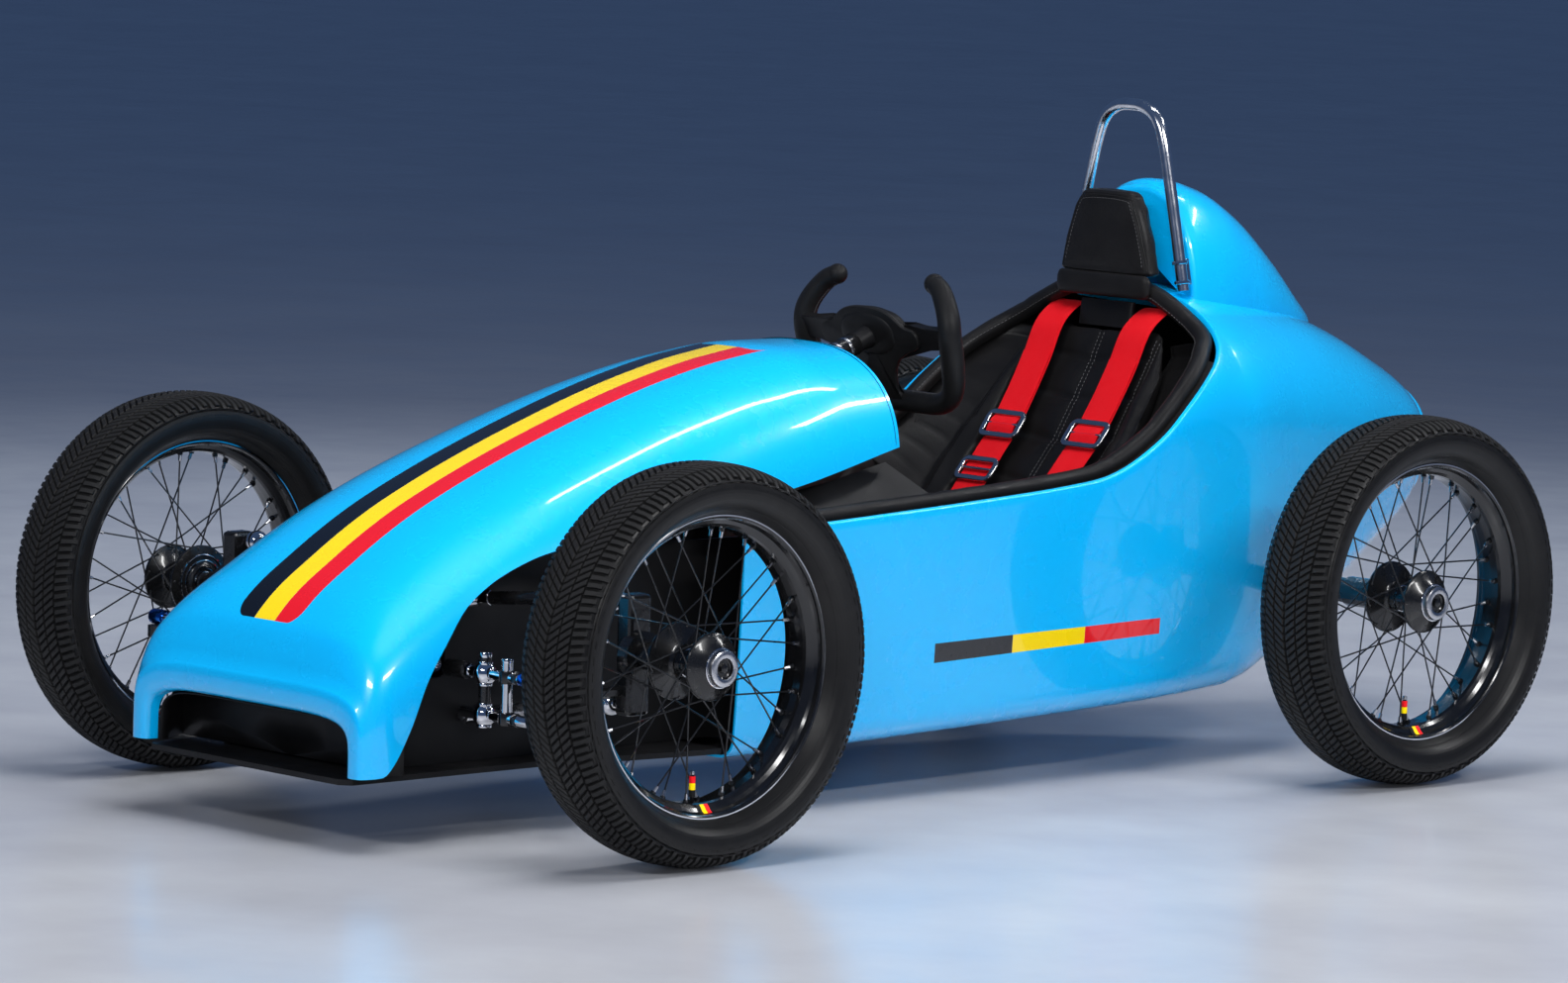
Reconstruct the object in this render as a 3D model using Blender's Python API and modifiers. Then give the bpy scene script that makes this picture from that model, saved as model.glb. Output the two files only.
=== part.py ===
# Open four-wheel pedal racing car: moulded body, spoked wheels, steered front axle.
# Metres, +Z up, front of the car towards -Y, its left side towards +X.
# The origin is on the ground, half way between the nose and the tail.
import bpy
import bmesh
from math import sin, cos, pi, radians, atan2, sqrt
from mathutils import Vector, Matrix, Euler

# ---------------------------------------------------------------- driving sizes
OVERALL_LENGTH = 2.380
FRONT_AXLE_Y = -0.852          # front axle line
WHEELBASE = 1.471
REAR_AXLE_Y = FRONT_AXLE_Y + WHEELBASE
HALF_TRACK = 0.559
WHEEL_R = 0.280                # tyre outside radius
TYRE_HALF_W = 0.0675
RIM_R = 0.2100                 # bead seat, just inside the tyre
RIM_HALF_W = 0.0385
HUB_Z = WHEEL_R
KINGPIN_X = 0.420
STEER_ARM = 0.155              # kingpin to tie rod pin, forward
AXLE_R = 0.0095
HUB_BORE_R = 0.0105
WALL = 0.006                   # moulded shell thickness
GAP = 0.0003
RACK_Z = 0.248
LINK_Z = 0.190                 # lower steering link rod
COLUMN_R = 0.011
WHEEL_TOP = Vector((0.0, 0.872, 0.662)) + Vector((0, FRONT_AXLE_Y, 0))   # steering wheel centre
COLUMN_FOOT = Vector((0.0, -0.105, 0.292)) + Vector((0, FRONT_AXLE_Y, 0))
CRANK_Y = 0.115 + FRONT_AXLE_Y
CRANK_Z = 0.268
CRANK_L = 0.105
NOSE_Y = -OVERALL_LENGTH / 2
TAIL_Y = OVERALL_LENGTH / 2

# ---------------------------------------------------------------- clean start
for ob in list(bpy.data.objects):
    bpy.data.objects.remove(ob, do_unlink=True)
scene = bpy.context.scene
car = bpy.data.collections.new("pedal_racing_car")
cut_col = bpy.data.collections.new("cutters")
scene.collection.children.link(car)
scene.collection.children.link(cut_col)


# ---------------------------------------------------------------- helpers
def material(name, rgb, rough, metal=0.0):
    m = bpy.data.materials.new(name)
    m.use_nodes = True
    b = m.node_tree.nodes["Principled BSDF"]
    b.inputs["Base Color"].default_value = (*rgb, 1.0)
    b.inputs["Roughness"].default_value = rough
    b.inputs["Metallic"].default_value = metal
    m.diffuse_color = (*rgb, 1.0)
    return m


BLUE = ((0.0, 0.47, 0.93), 0.12, 0.0)
BLACK_PANEL = ((0.012, 0.012, 0.014), 0.35, 0.0)
LEATHER = ((0.016, 0.015, 0.016), 0.42, 0.0)
RUBBER = ((0.02, 0.02, 0.02), 0.75, 0.0)
BLACK_METAL = ((0.015, 0.015, 0.017), 0.28, 0.6)
CHROME = ((0.80, 0.80, 0.82), 0.10, 1.0)
STEEL = ((0.62, 0.62, 0.64), 0.25, 1.0)
WEBBING = ((0.75, 0.01, 0.02), 0.6, 0.0)
ALLOY = ((0.45, 0.46, 0.48), 0.35, 1.0)


def finish_object(ob, look, col=car):
    for c in list(ob.users_collection):
        c.objects.unlink(ob)
    col.objects.link(ob)
    ob.data.materials.clear()
    ob.data.materials.append(material(ob.name, *look))
    return ob


def face_out(bm):
    """Turn a closed mesh's faces outwards."""
    bmesh.ops.recalc_face_normals(bm, faces=bm.faces)
    if all(e.is_manifold for e in bm.edges) and bm.calc_volume(signed=True) < 0:
        bmesh.ops.reverse_faces(bm, faces=bm.faces)


def obj_from_bm(name, bm, col=car, look=None):
    face_out(bm)
    me = bpy.data.meshes.new(name)
    bm.to_mesh(me)
    bm.free()
    ob = bpy.data.objects.new(name, me)
    col.objects.link(ob)
    if look:
        ob.data.materials.append(material(name, *look))
    return ob


def smooth(ob, angle=35):
    ob.data.shade_smooth()
    ob.data.set_sharp_from_angle(angle=radians(angle))
    return ob


def cutter(ob):
    for c in list(ob.users_collection):
        c.objects.unlink(ob)
    cut_col.objects.link(ob)
    ob.hide_render = True
    ob.display_type = 'WIRE'
    return ob


def apply_all(ob):
    """Bake the modifiers of an object into its own mesh."""
    bpy.context.view_layer.update()
    dg = bpy.context.evaluated_depsgraph_get()
    me = bpy.data.meshes.new_from_object(ob.evaluated_get(dg))
    ob.modifiers.clear()
    ob.data = me
    return ob


def boolean(ob, other, op):
    m = ob.modifiers.new(op.lower(), 'BOOLEAN')
    m.operation = op
    m.solver = 'EXACT'
    m.object = other
    return m


def join(base, others, op='UNION'):
    """Union (or cut) several solids into one mesh."""
    for o in others:
        boolean(base, o, op)
        apply_all(base)
        bpy.data.objects.remove(o, do_unlink=True)
    return base


def weld(ob, dist=0.00002):
    bm = bmesh.new()
    bm.from_mesh(ob.data)
    bmesh.ops.remove_doubles(bm, verts=bm.verts, dist=dist)
    bmesh.ops.dissolve_degenerate(bm, dist=dist, edges=bm.edges)
    bm.to_mesh(ob.data)
    bm.free()
    return ob


def rod(name, a, b, r, sides=12, r2=None, col=car):
    """Straight round bar or cone from a to b."""
    a, b = Vector(a), Vector(b)
    bm = bmesh.new()
    bmesh.ops.create_cone(bm, cap_ends=True, segments=sides, radius1=r,
                          radius2=r if r2 is None else r2, depth=(b - a).length)
    rot = (b - a).to_track_quat('Z', 'Y').to_matrix().to_4x4()
    bm.transform(Matrix.Translation((a + b) / 2) @ rot)
    return obj_from_bm(name, bm, col)


def ball(name, c, r, u=12, v=8):
    bm = bmesh.new()
    bmesh.ops.create_uvsphere(bm, u_segments=u, v_segments=v, radius=r)
    bm.transform(Matrix.Translation(Vector(c)))
    return obj_from_bm(name, bm)


def block(name, size, centre, bevel=0.0, segs=2, rot=(0, 0, 0), col=car):
    bm = bmesh.new()
    bmesh.ops.create_cube(bm, size=1.0)
    bmesh.ops.scale(bm, vec=Vector(size), verts=bm.verts)
    if bevel:
        bmesh.ops.bevel(bm, geom=list(bm.edges), offset=bevel, segments=segs, affect='EDGES',
                        profile=0.5, clamp_overlap=True)
    bm.transform(Matrix.Translation(Vector(centre)) @ Euler(rot).to_matrix().to_4x4())
    return obj_from_bm(name, bm, col)


def turned(name, profile, axis_point, steps=32, col=car):
    """Solid of revolution about an axis along X through axis_point. profile: (r, x) pairs, a closed ring
    or a line whose ends are on the axis."""
    bm = bmesh.new()
    rings = []
    for r, x in profile:
        if r < 1e-6:
            rings.append([bm.verts.new((x, 0, 0))])
        else:
            rings.append([bm.verts.new((x, r * cos(2 * pi * i / steps), r * sin(2 * pi * i / steps)))
                          for i in range(steps)])
    n = len(rings)
    closed = len(rings[0]) > 1
    for k in range(n if closed else n - 1):
        p, q = rings[k], rings[(k + 1) % n]
        for i in range(steps):
            j = (i + 1) % steps
            if len(p) == 1:
                bm.faces.new((p[0], q[i], q[j]))
            elif len(q) == 1:
                bm.faces.new((p[i], q[0], p[j]))
            else:
                bm.faces.new((p[i], q[i], q[j], p[j]))
    bm.transform(Matrix.Translation(Vector(axis_point)))
    return obj_from_bm(name, bm, col)


def spline(ctrl, x):
    """Monotone piecewise cubic through (x, y) control points."""
    n = len(ctrl)
    if x <= ctrl[0][0]:
        return ctrl[0][1]
    if x >= ctrl[-1][0]:
        return ctrl[-1][1]
    d = [(ctrl[i + 1][1] - ctrl[i][1]) / (ctrl[i + 1][0] - ctrl[i][0]) for i in range(n - 1)]
    m = [d[0]] + [0.0 if d[i - 1] * d[i] <= 0 else 2 * d[i - 1] * d[i] / (d[i - 1] + d[i])
                  for i in range(1, n - 1)] + [d[-1]]
    for i in range(n - 1):
        if x <= ctrl[i + 1][0]:
            h = ctrl[i + 1][0] - ctrl[i][0]
            t = (x - ctrl[i][0]) / h
            return ((2 * t**3 - 3 * t**2 + 1) * ctrl[i][1] + (t**3 - 2 * t**2 + t) * h * m[i]
                    + (-2 * t**3 + 3 * t**2) * ctrl[i + 1][1] + (t**3 - t**2) * h * m[i + 1])


def curve_points(ctrl, count):
    """Evenly spread points on a Catmull-Rom curve through 3D control points."""
    c = [Vector(p) for p in ctrl]
    c = [2 * c[0] - c[1]] + c + [2 * c[-1] - c[-2]]
    dense = []
    for i in range(1, len(c) - 2):
        for k in range(24):
            t = k / 24
            dense.append(0.5 * ((2 * c[i]) + (c[i + 1] - c[i - 1]) * t
                                + (2 * c[i - 1] - 5 * c[i] + 4 * c[i + 1] - c[i + 2]) * t * t
                                + (3 * c[i] - c[i - 1] - 3 * c[i + 1] + c[i + 2]) * t**3))
    dense.append(c[-2])
    length = [0.0]
    for a, b in zip(dense[:-1], dense[1:]):
        length.append(length[-1] + (b - a).length)
    out, k = [], 0
    for i in range(count):
        s = length[-1] * i / (count - 1)
        while k < len(dense) - 2 and length[k + 1] < s:
            k += 1
        f = (s - length[k]) / max(1e-9, length[k + 1] - length[k])
        out.append(dense[k].lerp(dense[k + 1], min(1.0, f)))
    return out


def tube(name, pts, r, res=2, col=car):
    """Round tube or wire along points: a bevelled curve with filled caps, made a mesh."""
    cu = bpy.data.curves.new(name + "_line", 'CURVE')
    cu.dimensions = '3D'
    cu.bevel_depth = r
    cu.bevel_resolution = res
    cu.use_fill_caps = True
    sp = cu.splines.new('POLY')
    sp.points.add(len(pts) - 1)
    for p, q in zip(sp.points, pts):
        p.co = (*q, 1.0)
    tmp = bpy.data.objects.new(name + "_line", cu)
    col.objects.link(tmp)
    bpy.context.view_layer.update()
    dg = bpy.context.evaluated_depsgraph_get()
    me = bpy.data.meshes.new_from_object(tmp.evaluated_get(dg))
    me.name = name
    bm = bmesh.new()
    bm.from_mesh(me)
    bmesh.ops.remove_doubles(bm, verts=bm.verts, dist=0.00005)
    face_out(bm)
    bm.to_mesh(me)
    bm.free()
    ob = bpy.data.objects.new(name, me)
    ob.matrix_world = tmp.matrix_world.copy()
    col.objects.link(ob)
    bpy.data.objects.remove(tmp, do_unlink=True)
    return ob


def prism(name, outline, axis, lo, hi, col=car):
    """Flat outline (pairs) extruded along axis 'X', 'Y' or 'Z' from lo to hi."""
    def place(p, h):
        if axis == 'X':
            return (h, p[0], p[1])
        if axis == 'Y':
            return (p[0], h, p[1])
        return (p[0], p[1], h)
    bm = bmesh.new()
    a = [bm.verts.new(place(p, lo)) for p in outline]
    b = [bm.verts.new(place(p, hi)) for p in outline]
    n = len(outline)
    bm.faces.new(a)
    bm.faces.new(list(reversed(b)))
    for i in range(n):
        bm.faces.new((a[i], b[i], b[(i + 1) % n], a[(i + 1) % n]))
    bmesh.ops.triangulate(bm, faces=[f for f in bm.faces if len(f.verts) > 4])
    return obj_from_bm(name, bm, col)


def skin(name, rows, close_rows=False, cap_start=None, cap_end=None, col=car):
    """Surface through rows of points. A cap is a point that closes an end."""
    bm = bmesh.new()
    grid = [[bm.verts.new(p) for p in row] for row in rows]
    n = len(grid[0])
    for a, b in zip(grid[:-1], grid[1:]):
        for i in range(n if close_rows else n - 1):
            j = (i + 1) % n
            bm.faces.new((a[i], a[j], b[j], b[i]))
    for cap, row in ((cap_start, grid[0]), (cap_end, grid[-1])):
        if cap is not None:
            c = bm.verts.new(cap)
            for i in range(n if close_rows else n - 1):
                bm.faces.new((row[i], row[(i + 1) % n], c))
    return obj_from_bm(name, bm, col)


def solid_loft(name, sections, col=car):
    """Closed solid through closed sections with the same number of points."""
    bm = bmesh.new()
    grid = [[bm.verts.new(p) for p in s] for s in sections]
    n = len(grid[0])
    for a, b in zip(grid[:-1], grid[1:]):
        for i in range(n):
            bm.faces.new((a[i], a[(i + 1) % n], b[(i + 1) % n], b[i]))
    bm.faces.new(grid[0])
    bm.faces.new(list(reversed(grid[-1])))
    bmesh.ops.triangulate(bm, faces=[f for f in bm.faces if len(f.verts) > 4])
    return obj_from_bm(name, bm, col)


def solidify(ob, t, offset):
    m = ob.modifiers.new("thickness", 'SOLIDIFY')
    m.thickness = t
    m.offset = offset
    m.use_even_offset = True
    m.use_quality_normals = True
    apply_all(ob)
    return ob


def flip(ob):
    ob.data.flip_normals()
    return ob


def mirrored(ob, name, look):
    """The same piece on the other side of the car."""
    me = ob.data.copy()
    me.transform(Matrix.Scale(-1, 4, Vector((1, 0, 0))))
    me.flip_normals()
    me.materials.clear()
    o = bpy.data.objects.new(name, me)
    car.objects.link(o)
    o.data.materials.append(material(name, *look))
    o.location = Vector((-ob.location.x, ob.location.y, ob.location.z))
    return o


def origin_to(ob, point):
    """Put the object's origin on its joint axis."""
    point = Vector(point)
    ob.data.transform(Matrix.Translation(-point))
    ob.location = ob.location + point
    return ob


def Y(fit):
    """Distance behind the front axle line to the car's own y."""
    return fit + FRONT_AXLE_Y


# ---------------------------------------------------------------- bonnet
HOOD_TOP = [(-0.338, 0.205), (-0.325, 0.252), (-0.304, 0.300), (-0.200, 0.382), (-0.069, 0.456),
            (0.190, 0.558), (0.380, 0.616), (0.500, 0.642), (0.620, 0.656), (0.720, 0.656)]
HOOD_W = [(-0.338, 0.248), (-0.315, 0.262), (-0.290, 0.268), (-0.200, 0.271), (0.000, 0.271), (0.250, 0.264),
          (0.500, 0.243), (0.720, 0.216)]
HOOD_LOW = [(-0.338, 0.106), (-0.306, 0.109), (-0.290, 0.124), (-0.263, 0.169), (-0.230, 0.236), (-0.195, 0.281),
            (-0.143, 0.336), (-0.071, 0.377), (0.002, 0.401), (0.200, 0.432), (0.470, 0.466), (0.720, 0.514)]
HOOD_EXP = [(-0.338, 6.0), (-0.300, 4.4), (-0.100, 3.3), (0.200, 2.9), (0.500, 2.6), (0.720, 2.5)]


def hood_section(fy, count=17, inset=0.0):
    """Half ring from the left lower edge over the crown to the right lower edge."""
    w, zt, n = spline(HOOD_W, fy) - inset, spline(HOOD_TOP, fy) - inset, spline(HOOD_EXP, fy)
    low = spline(HOOD_LOW, fy)
    base = spline([(-0.34, 0.106), (-0.29, 0.106), (0.0, 0.26), (0.3, 0.36), (0.72, 0.475)], fy)
    pts = []
    # start angle so that the edge is at the low line
    f = max(0.0, min(0.98, (low - base) / (zt - base)))
    from math import asin
    a0 = asin(f ** (n / 2)) if f > 0 else 0.0
    for i in range(count):
        a = a0 + (pi - 2 * a0) * i / (count - 1)
        c, s = cos(a), sin(a)
        x = w * (1 if c >= 0 else -1) * abs(c) ** (2 / n)
        z = base + (zt - base) * abs(s) ** (2 / n)
        if i == 0 or i == count - 1:
            z = low if f > 0 else base
        pts.append((x, Y(fy), z))
    return pts


hood_stations = [-0.332, -0.322, -0.306, -0.285, -0.260, -0.225, -0.180, -0.110, -0.020, 0.10, 0.24, 0.40, 0.56, 0.72]
rows = [hood_section(s) for s in hood_stations]
# the front face: a rounded frame that turns in round the mouth
first = rows[0]


def lip(f_side, f_top, y):
    """The front edge drawn in towards the mouth."""
    return [(x * f_side, y, 0.106 + (z - 0.106) * f_top) for x, y0, z in first]


rows = [lip(0.875, 0.66, NOSE_Y + 0.010), lip(0.90, 0.72, NOSE_Y + 0.0015), lip(0.945, 0.86, NOSE_Y),
        lip(0.985, 0.965, NOSE_Y + 0.0015)] + rows
hood = skin("hood", rows)
# outward = away from the inside
if sum(f.normal.z * f.area for f in hood.data.polygons) < 0:
    flip(hood)
solidify(hood, WALL, -1.0)
finish_object(hood, BLUE)
smooth(hood, 40)

# ---------------------------------------------------------------- main body shell
BODY_TOP = [(0.34, 0.60), (1.00, 0.62), (1.20, 0.67), (1.40, 0.722), (1.50, 0.718), (1.65, 0.695), (1.80, 0.650),
            (1.93, 0.595), (2.00, 0.560), (2.042, 0.530)]
BODY_W = [(0.34, 0.292), (0.60, 0.300), (1.20, 0.300), (1.40, 0.292), (1.55, 0.262), (1.75, 0.205), (1.93, 0.140),
          (2.00, 0.110), (2.042, 0.084)]
BODY_MID = [(0.34, 0.44), (1.05, 0.46), (1.20, 0.50), (1.40, 0.52), (1.65, 0.50), (1.90, 0.475), (2.042, 0.455)]
BODY_LOW = [(0.34, 0.086), (0.60, 0.090), (1.00, 0.100), (1.38, 0.116), (1.50, 0.135), (1.65, 0.190), (1.85, 0.280),
            (2.00, 0.345), (2.042, 0.375)]
BODY_EXP = [(0.34, 2.6), (1.30, 2.6), (1.40, 2.15), (1.60, 2.0), (2.12, 2.0)]
CORNER = [(0.34, 0.030), (1.38, 0.045), (1.60, 0.085), (2.042, 0.045)]


def body_half(fy, z):
    """Half width of the body's outer skin at a height above its widest line."""
    w, zt, zm, n = (spline(t, fy) for t in (BODY_W, BODY_TOP, BODY_MID, BODY_EXP))
    if z <= zm:
        return w
    f = min(1.0, (z - zm) / (zt - zm))
    return w * (1 - f ** n) ** (1 / n)


def body_section(fy, arc=10, low_pts=4):
    w, zt, zm, zl, n, rc = (spline(t, fy) for t in (BODY_W, BODY_TOP, BODY_MID, BODY_LOW, BODY_EXP, CORNER))
    half = []
    # bottom centre to the corner, round the corner, up the side, then over the shoulder
    wb = w - 0.012
    half.append((0.0, zl))
    half.append(((wb - rc) * 0.55, zl))
    for i in range(low_pts):
        a = -pi / 2 + (pi / 2) * i / (low_pts - 1)
        half.append((wb - rc + rc * cos(a), zl + rc + rc * sin(a)))
    half.append((w - 0.003, zl + (zm - zl) * 0.55))
    for i in range(arc):
        a = (pi / 2) * i / (arc - 1)
        half.append((w * cos(a) ** (2 / n) if i < arc - 1 else 0.0, zm + (zt - zm) * sin(a) ** (2 / n)))
    ring = [(x, Y(fy), z) for x, z in half] + [(-x, Y(fy), z) for x, z in reversed(half[1:-1])]
    return ring


body_stations = [0.34, 0.60, 1.10, 1.25, 1.34, 1.38, 1.42, 1.50, 1.60, 1.72, 1.84, 1.95, 2.020]
rows = [body_section(s) for s in body_stations]
last = rows[-1]
TAIL_MID = 0.448


def tail_ring(f, y):
    """The last ring drawn in to the rounded tail end."""
    return [(x * f, y, TAIL_MID + (z - TAIL_MID) * f) for x, y0, z in last]


rows += [tail_ring(0.90, TAIL_Y - 0.0060), tail_ring(0.66, TAIL_Y)]
body = skin("body_shell", rows, close_rows=True, cap_end=(0, TAIL_Y, TAIL_MID))
# the hollow inside: the same form, one wall smaller, open at the front
shrunk = []
for fy, ring in zip(body_stations, rows):
    w_o = max(x for x, y, z in ring)
    z_lo, z_hi = min(z for x, y, z in ring), max(z for x, y, z in ring)
    zc_, h_ = (z_lo + z_hi) / 2, (z_hi - z_lo) / 2
    shrunk.append([(x * (1 - WALL / w_o), y, zc_ + (z - zc_) * (1 - WALL / h_)) for x, y, z in ring])
shrunk[0] = [(x, y - 0.05, z) for x, y, z in shrunk[0]]
end = shrunk[-1]
shrunk[-1] = [(x, y - 0.004, z) for x, y, z in end]
core = skin("cut_core", shrunk, close_rows=True, cap_start=(0, Y(0.34) - 0.05, 0.35), cap_end=(0, Y(body_stations[-1]) - 0.004, TAIL_MID))
front_cap = bmesh.new()
front_cap.from_mesh(body.data)
open_edges = [e for e in front_cap.edges if len(e.link_faces) == 1]
bmesh.ops.holes_fill(front_cap, edges=open_edges, sides=0)
face_out(front_cap)
front_cap.to_mesh(body.data)
front_cap.free()
join(body, [core], 'DIFFERENCE')

# cockpit opening: everything above the sill line and ahead of the seat back edge
SILL = [(0.25, 0.402), (0.49, 0.418), (0.80, 0.434), (1.00, 0.447), (1.10, 0.462), (1.19, 0.504), (1.258, 0.556),
        (1.312, 0.598), (1.355, 0.630), (1.380, 0.655), (1.396, 0.688), (1.400, 0.712), (1.400, 0.735)]
line = [Vector((0, a, b)) for a, b in SILL]
edge = curve_points(line, 30)
outline = [(Y(p.y), p.z) for p in edge] + [(Y(1.400), 0.85), (Y(0.25), 0.85)]
cut_top = cutter(prism("cut_cockpit", outline, 'X', -0.4, 0.4, cut_col))
boolean(body, cut_top, 'DIFFERENCE')
cut_axle = cutter(rod("cut_rear_axle", (-0.4, REAR_AXLE_Y, HUB_Z), (0.4, REAR_AXLE_Y, HUB_Z), 0.030, 16, col=cut_col))
boolean(body, cut_axle, 'DIFFERENCE')
apply_all(body)
weld(body)
finish_object(body, BLUE)
smooth(body, 35)

# ---------------------------------------------------------------- headrest fairing
FAIR_TOP = [(1.436, 0.874), (1.467, 0.882), (1.530, 0.869), (1.594, 0.838), (1.680, 0.772), (1.760, 0.700),
            (1.815, 0.662)]
FAIR_W = [(1.436, 0.128), (1.50, 0.132), (1.60, 0.120), (1.70, 0.092), (1.78, 0.056), (1.815, 0.026)]


def fairing_section(fy, count=15, f=1.0):
    w, zt = spline(FAIR_W, fy) * f, spline(FAIR_TOP, fy)
    out = []
    for i in range(count):
        a = pi * i / (count - 1)
        c, s = cos(a), sin(a)
        x = w * (1 if c >= 0 else -1) * abs(c) ** 0.82
        base = spline(BODY_TOP, fy)
        # the foot follows the deck under it
        zb = spline(BODY_MID, fy) + (base - spline(BODY_MID, fy)) * max(
            0.0, 1 - (abs(x) / spline(BODY_W, fy)) ** spline(BODY_EXP, fy)) ** (1 / spline(BODY_EXP, fy)) - 0.020
        z = zb + max(0.0, (zt + 0.020 - base)) * f * abs(s) ** 0.9
        out.append((x, Y(fy), z))
    return out


fair_rows = [fairing_section(s) for s in (1.436, 1.467, 1.50, 1.54, 1.594, 1.65, 1.70, 1.75, 1.785, 1.812)]
fair = skin("headrest_fairing", fair_rows)
bm = bmesh.new()
bm.from_mesh(fair.data)
front = sorted((v for v in bm.verts if abs(v.co.y - Y(1.436)) < 1e-5), key=lambda v: -v.co.x)
rear = sorted((v for v in bm.verts if abs(v.co.y - Y(1.812)) < 1e-5), key=lambda v: -v.co.x)
for ring in (front, rear):
    n = len(ring)
    for i in range(n // 2):
        a, b, c, d = ring[i], ring[i + 1], ring[n - 2 - i], ring[n - 1 - i]
        vs = []
        for v in (a, b, c, d):
            if v not in vs:
                vs.append(v)
        if len(vs) > 2:
            bm.faces.new(vs)
bmesh.ops.recalc_face_normals(bm, faces=bm.faces)
bm.to_mesh(fair.data)
bm.free()
if sum(f.normal.z * f.area for f in fair.data.polygons) < 0:
    flip(fair)
solidify(fair, 0.004, -1.0)
deck_rows = [[(x * 1.002, y, z + (0.0006 if z > 0.4 else 0.0)) for x, y, z in body_section(s)] for s in body_stations[1:]]
deck_cut = skin("cut_deck", deck_rows, close_rows=True, cap_start=(0, Y(body_stations[1]), 0.3),
                cap_end=(0, Y(body_stations[-1]), 0.45))
join(fair, [deck_cut], 'DIFFERENCE')
finish_object(fair, BLUE)
smooth(fair, 40)

# ---------------------------------------------------------------- cockpit trim
trim_half = []
for p in edge[3:]:
    x = body_half(p.y, p.z)
    trim_half.append(Vector((max(0.0, x - 0.0350 - 0.10 * max(0.0, p.z - 0.60)), Y(p.y), p.z + 0.006)))
trim_half = [q for q in trim_half if q.z < 0.696]
trim_pts = trim_half + [Vector((0.088, Y(1.383), 0.711)), Vector((0.0, Y(1.383), 0.7135)),
                        Vector((-0.088, Y(1.383), 0.711))] + [Vector((-q.x, q.y, q.z)) for q in reversed(trim_half)]
for q in trim_pts:
    if q.y > Y(1.383):
        q.y = Y(1.383)
trim = tube("cockpit_trim", curve_points(trim_pts, 40), 0.0145, 1)
finish_object(trim, LEATHER)
smooth(trim, 60)

# ---------------------------------------------------------------- floor pan and splitter
pan_half = [(0.205, NOSE_Y + 0.002), (0.220, NOSE_Y + 0.016), (0.222, Y(0.02)), (0.262, Y(0.30)), (0.262, Y(0.333))]
pan = prism("floor_pan", pan_half + [(-x, y) for x, y in reversed(pan_half)], 'Z', 0.094, 0.1020)
finish_object(pan, BLACK_PANEL)

# ---------------------------------------------------------------- foot box: floor, two side walls and front wall
fb_y0, fb_y1, fb_w, fb_z0, fb_z1 = Y(-0.235), Y(0.46), 0.168, 0.1025, 0.392
foot = block("foot_box", (2 * fb_w, fb_y1 - fb_y0, fb_z1 - fb_z0), (0, (fb_y0 + fb_y1) / 2, (fb_z0 + fb_z1) / 2))
inner = block("cut_foot", (2 * fb_w - 0.010, fb_y1 - fb_y0, fb_z1 - fb_z0), (0, (fb_y0 + fb_y1) / 2 + 0.005,
                                                                        (fb_z0 + fb_z1) / 2 + 0.005))
slot_l = block("cut_rack", (0.60, 0.066, 0.046), (0, Y(-0.148), RACK_Z), 0.010, 2)
slope = prism("cut_slope", [(Y(-0.30), 0.28), (Y(-0.30), 0.45), (Y(0.06), 0.45), (Y(0.03), 0.392)], 'X', -0.3, 0.3)
join(foot, [inner, slot_l, slope], 'DIFFERENCE')
finish_object(foot, BLACK_PANEL)

# ---------------------------------------------------------------- side decks between cowl and sill
deck = solid_loft("side_deck_left", [
    [(0.2350, Y(0.36), 0.414), (0.2350, Y(0.36), 0.420), (0.212, Y(0.36), 0.436), (0.210, Y(0.36), 0.430)],
    [(0.2480, Y(0.60), 0.4245), (0.2480, Y(0.60), 0.4305), (0.195, Y(0.60), 0.468), (0.193, Y(0.60), 0.462)],
    [(0.2490, Y(0.765), 0.4325), (0.2490, Y(0.765), 0.4385), (0.190, Y(0.715), 0.490), (0.188, Y(0.715), 0.484)]])
finish_object(deck, BLACK_PANEL)
mirrored(deck, "side_deck_right", BLACK_PANEL)

# ---------------------------------------------------------------- dash hoop that carries the column
dash_pts = []
for i in range(15):
    a = pi * i / 14
    dash_pts.append((0.186 * (1 if cos(a) >= 0 else -1) * abs(cos(a)) ** 0.8, 0.480 + 0.158 * abs(sin(a)) ** 0.8))
dash = prism("dash_hoop", dash_pts, 'Y', Y(0.615), Y(0.630))
dash_in = []
for i in range(15):
    a = pi * i / 14
    dash_in.append((0.162 * (1 if cos(a) >= 0 else -1) * abs(cos(a)) ** 0.8, 0.44 + 0.172 * abs(sin(a)) ** 0.8))
axis = (WHEEL_TOP - COLUMN_FOOT).normalized()


def on_column(y_fit):
    t = (Y(y_fit) - COLUMN_FOOT.y) / axis.y
    return COLUMN_FOOT + axis * t


hole = prism("cut_dash", dash_in, 'Y', Y(0.60), Y(0.65))
join(dash, [hole], 'DIFFERENCE')
c0 = on_column(0.6225)
boss = rod("boss", c0 - axis * 0.024, c0 + axis * 0.024, 0.024, 14)
web = block("web", (0.034, 0.012, 0.078), (0, Y(0.6225), c0.z + 0.036))
join(dash, [web, boss])
bore = rod("cut_bore", c0 - axis * 0.05, c0 + axis * 0.05, COLUMN_R + 0.0015, 14)
join(dash, [bore], 'DIFFERENCE')
finish_object(dash, BLACK_METAL)

# ---------------------------------------------------------------- steering wheel and column
side = Vector((1, 0, 0))
up = axis.cross(side).normalized()
if up.z < 0:
    up = -up


def in_wheel(u, v, w=0.0):
    return WHEEL_TOP + side * u + up * v + axis * w


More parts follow.
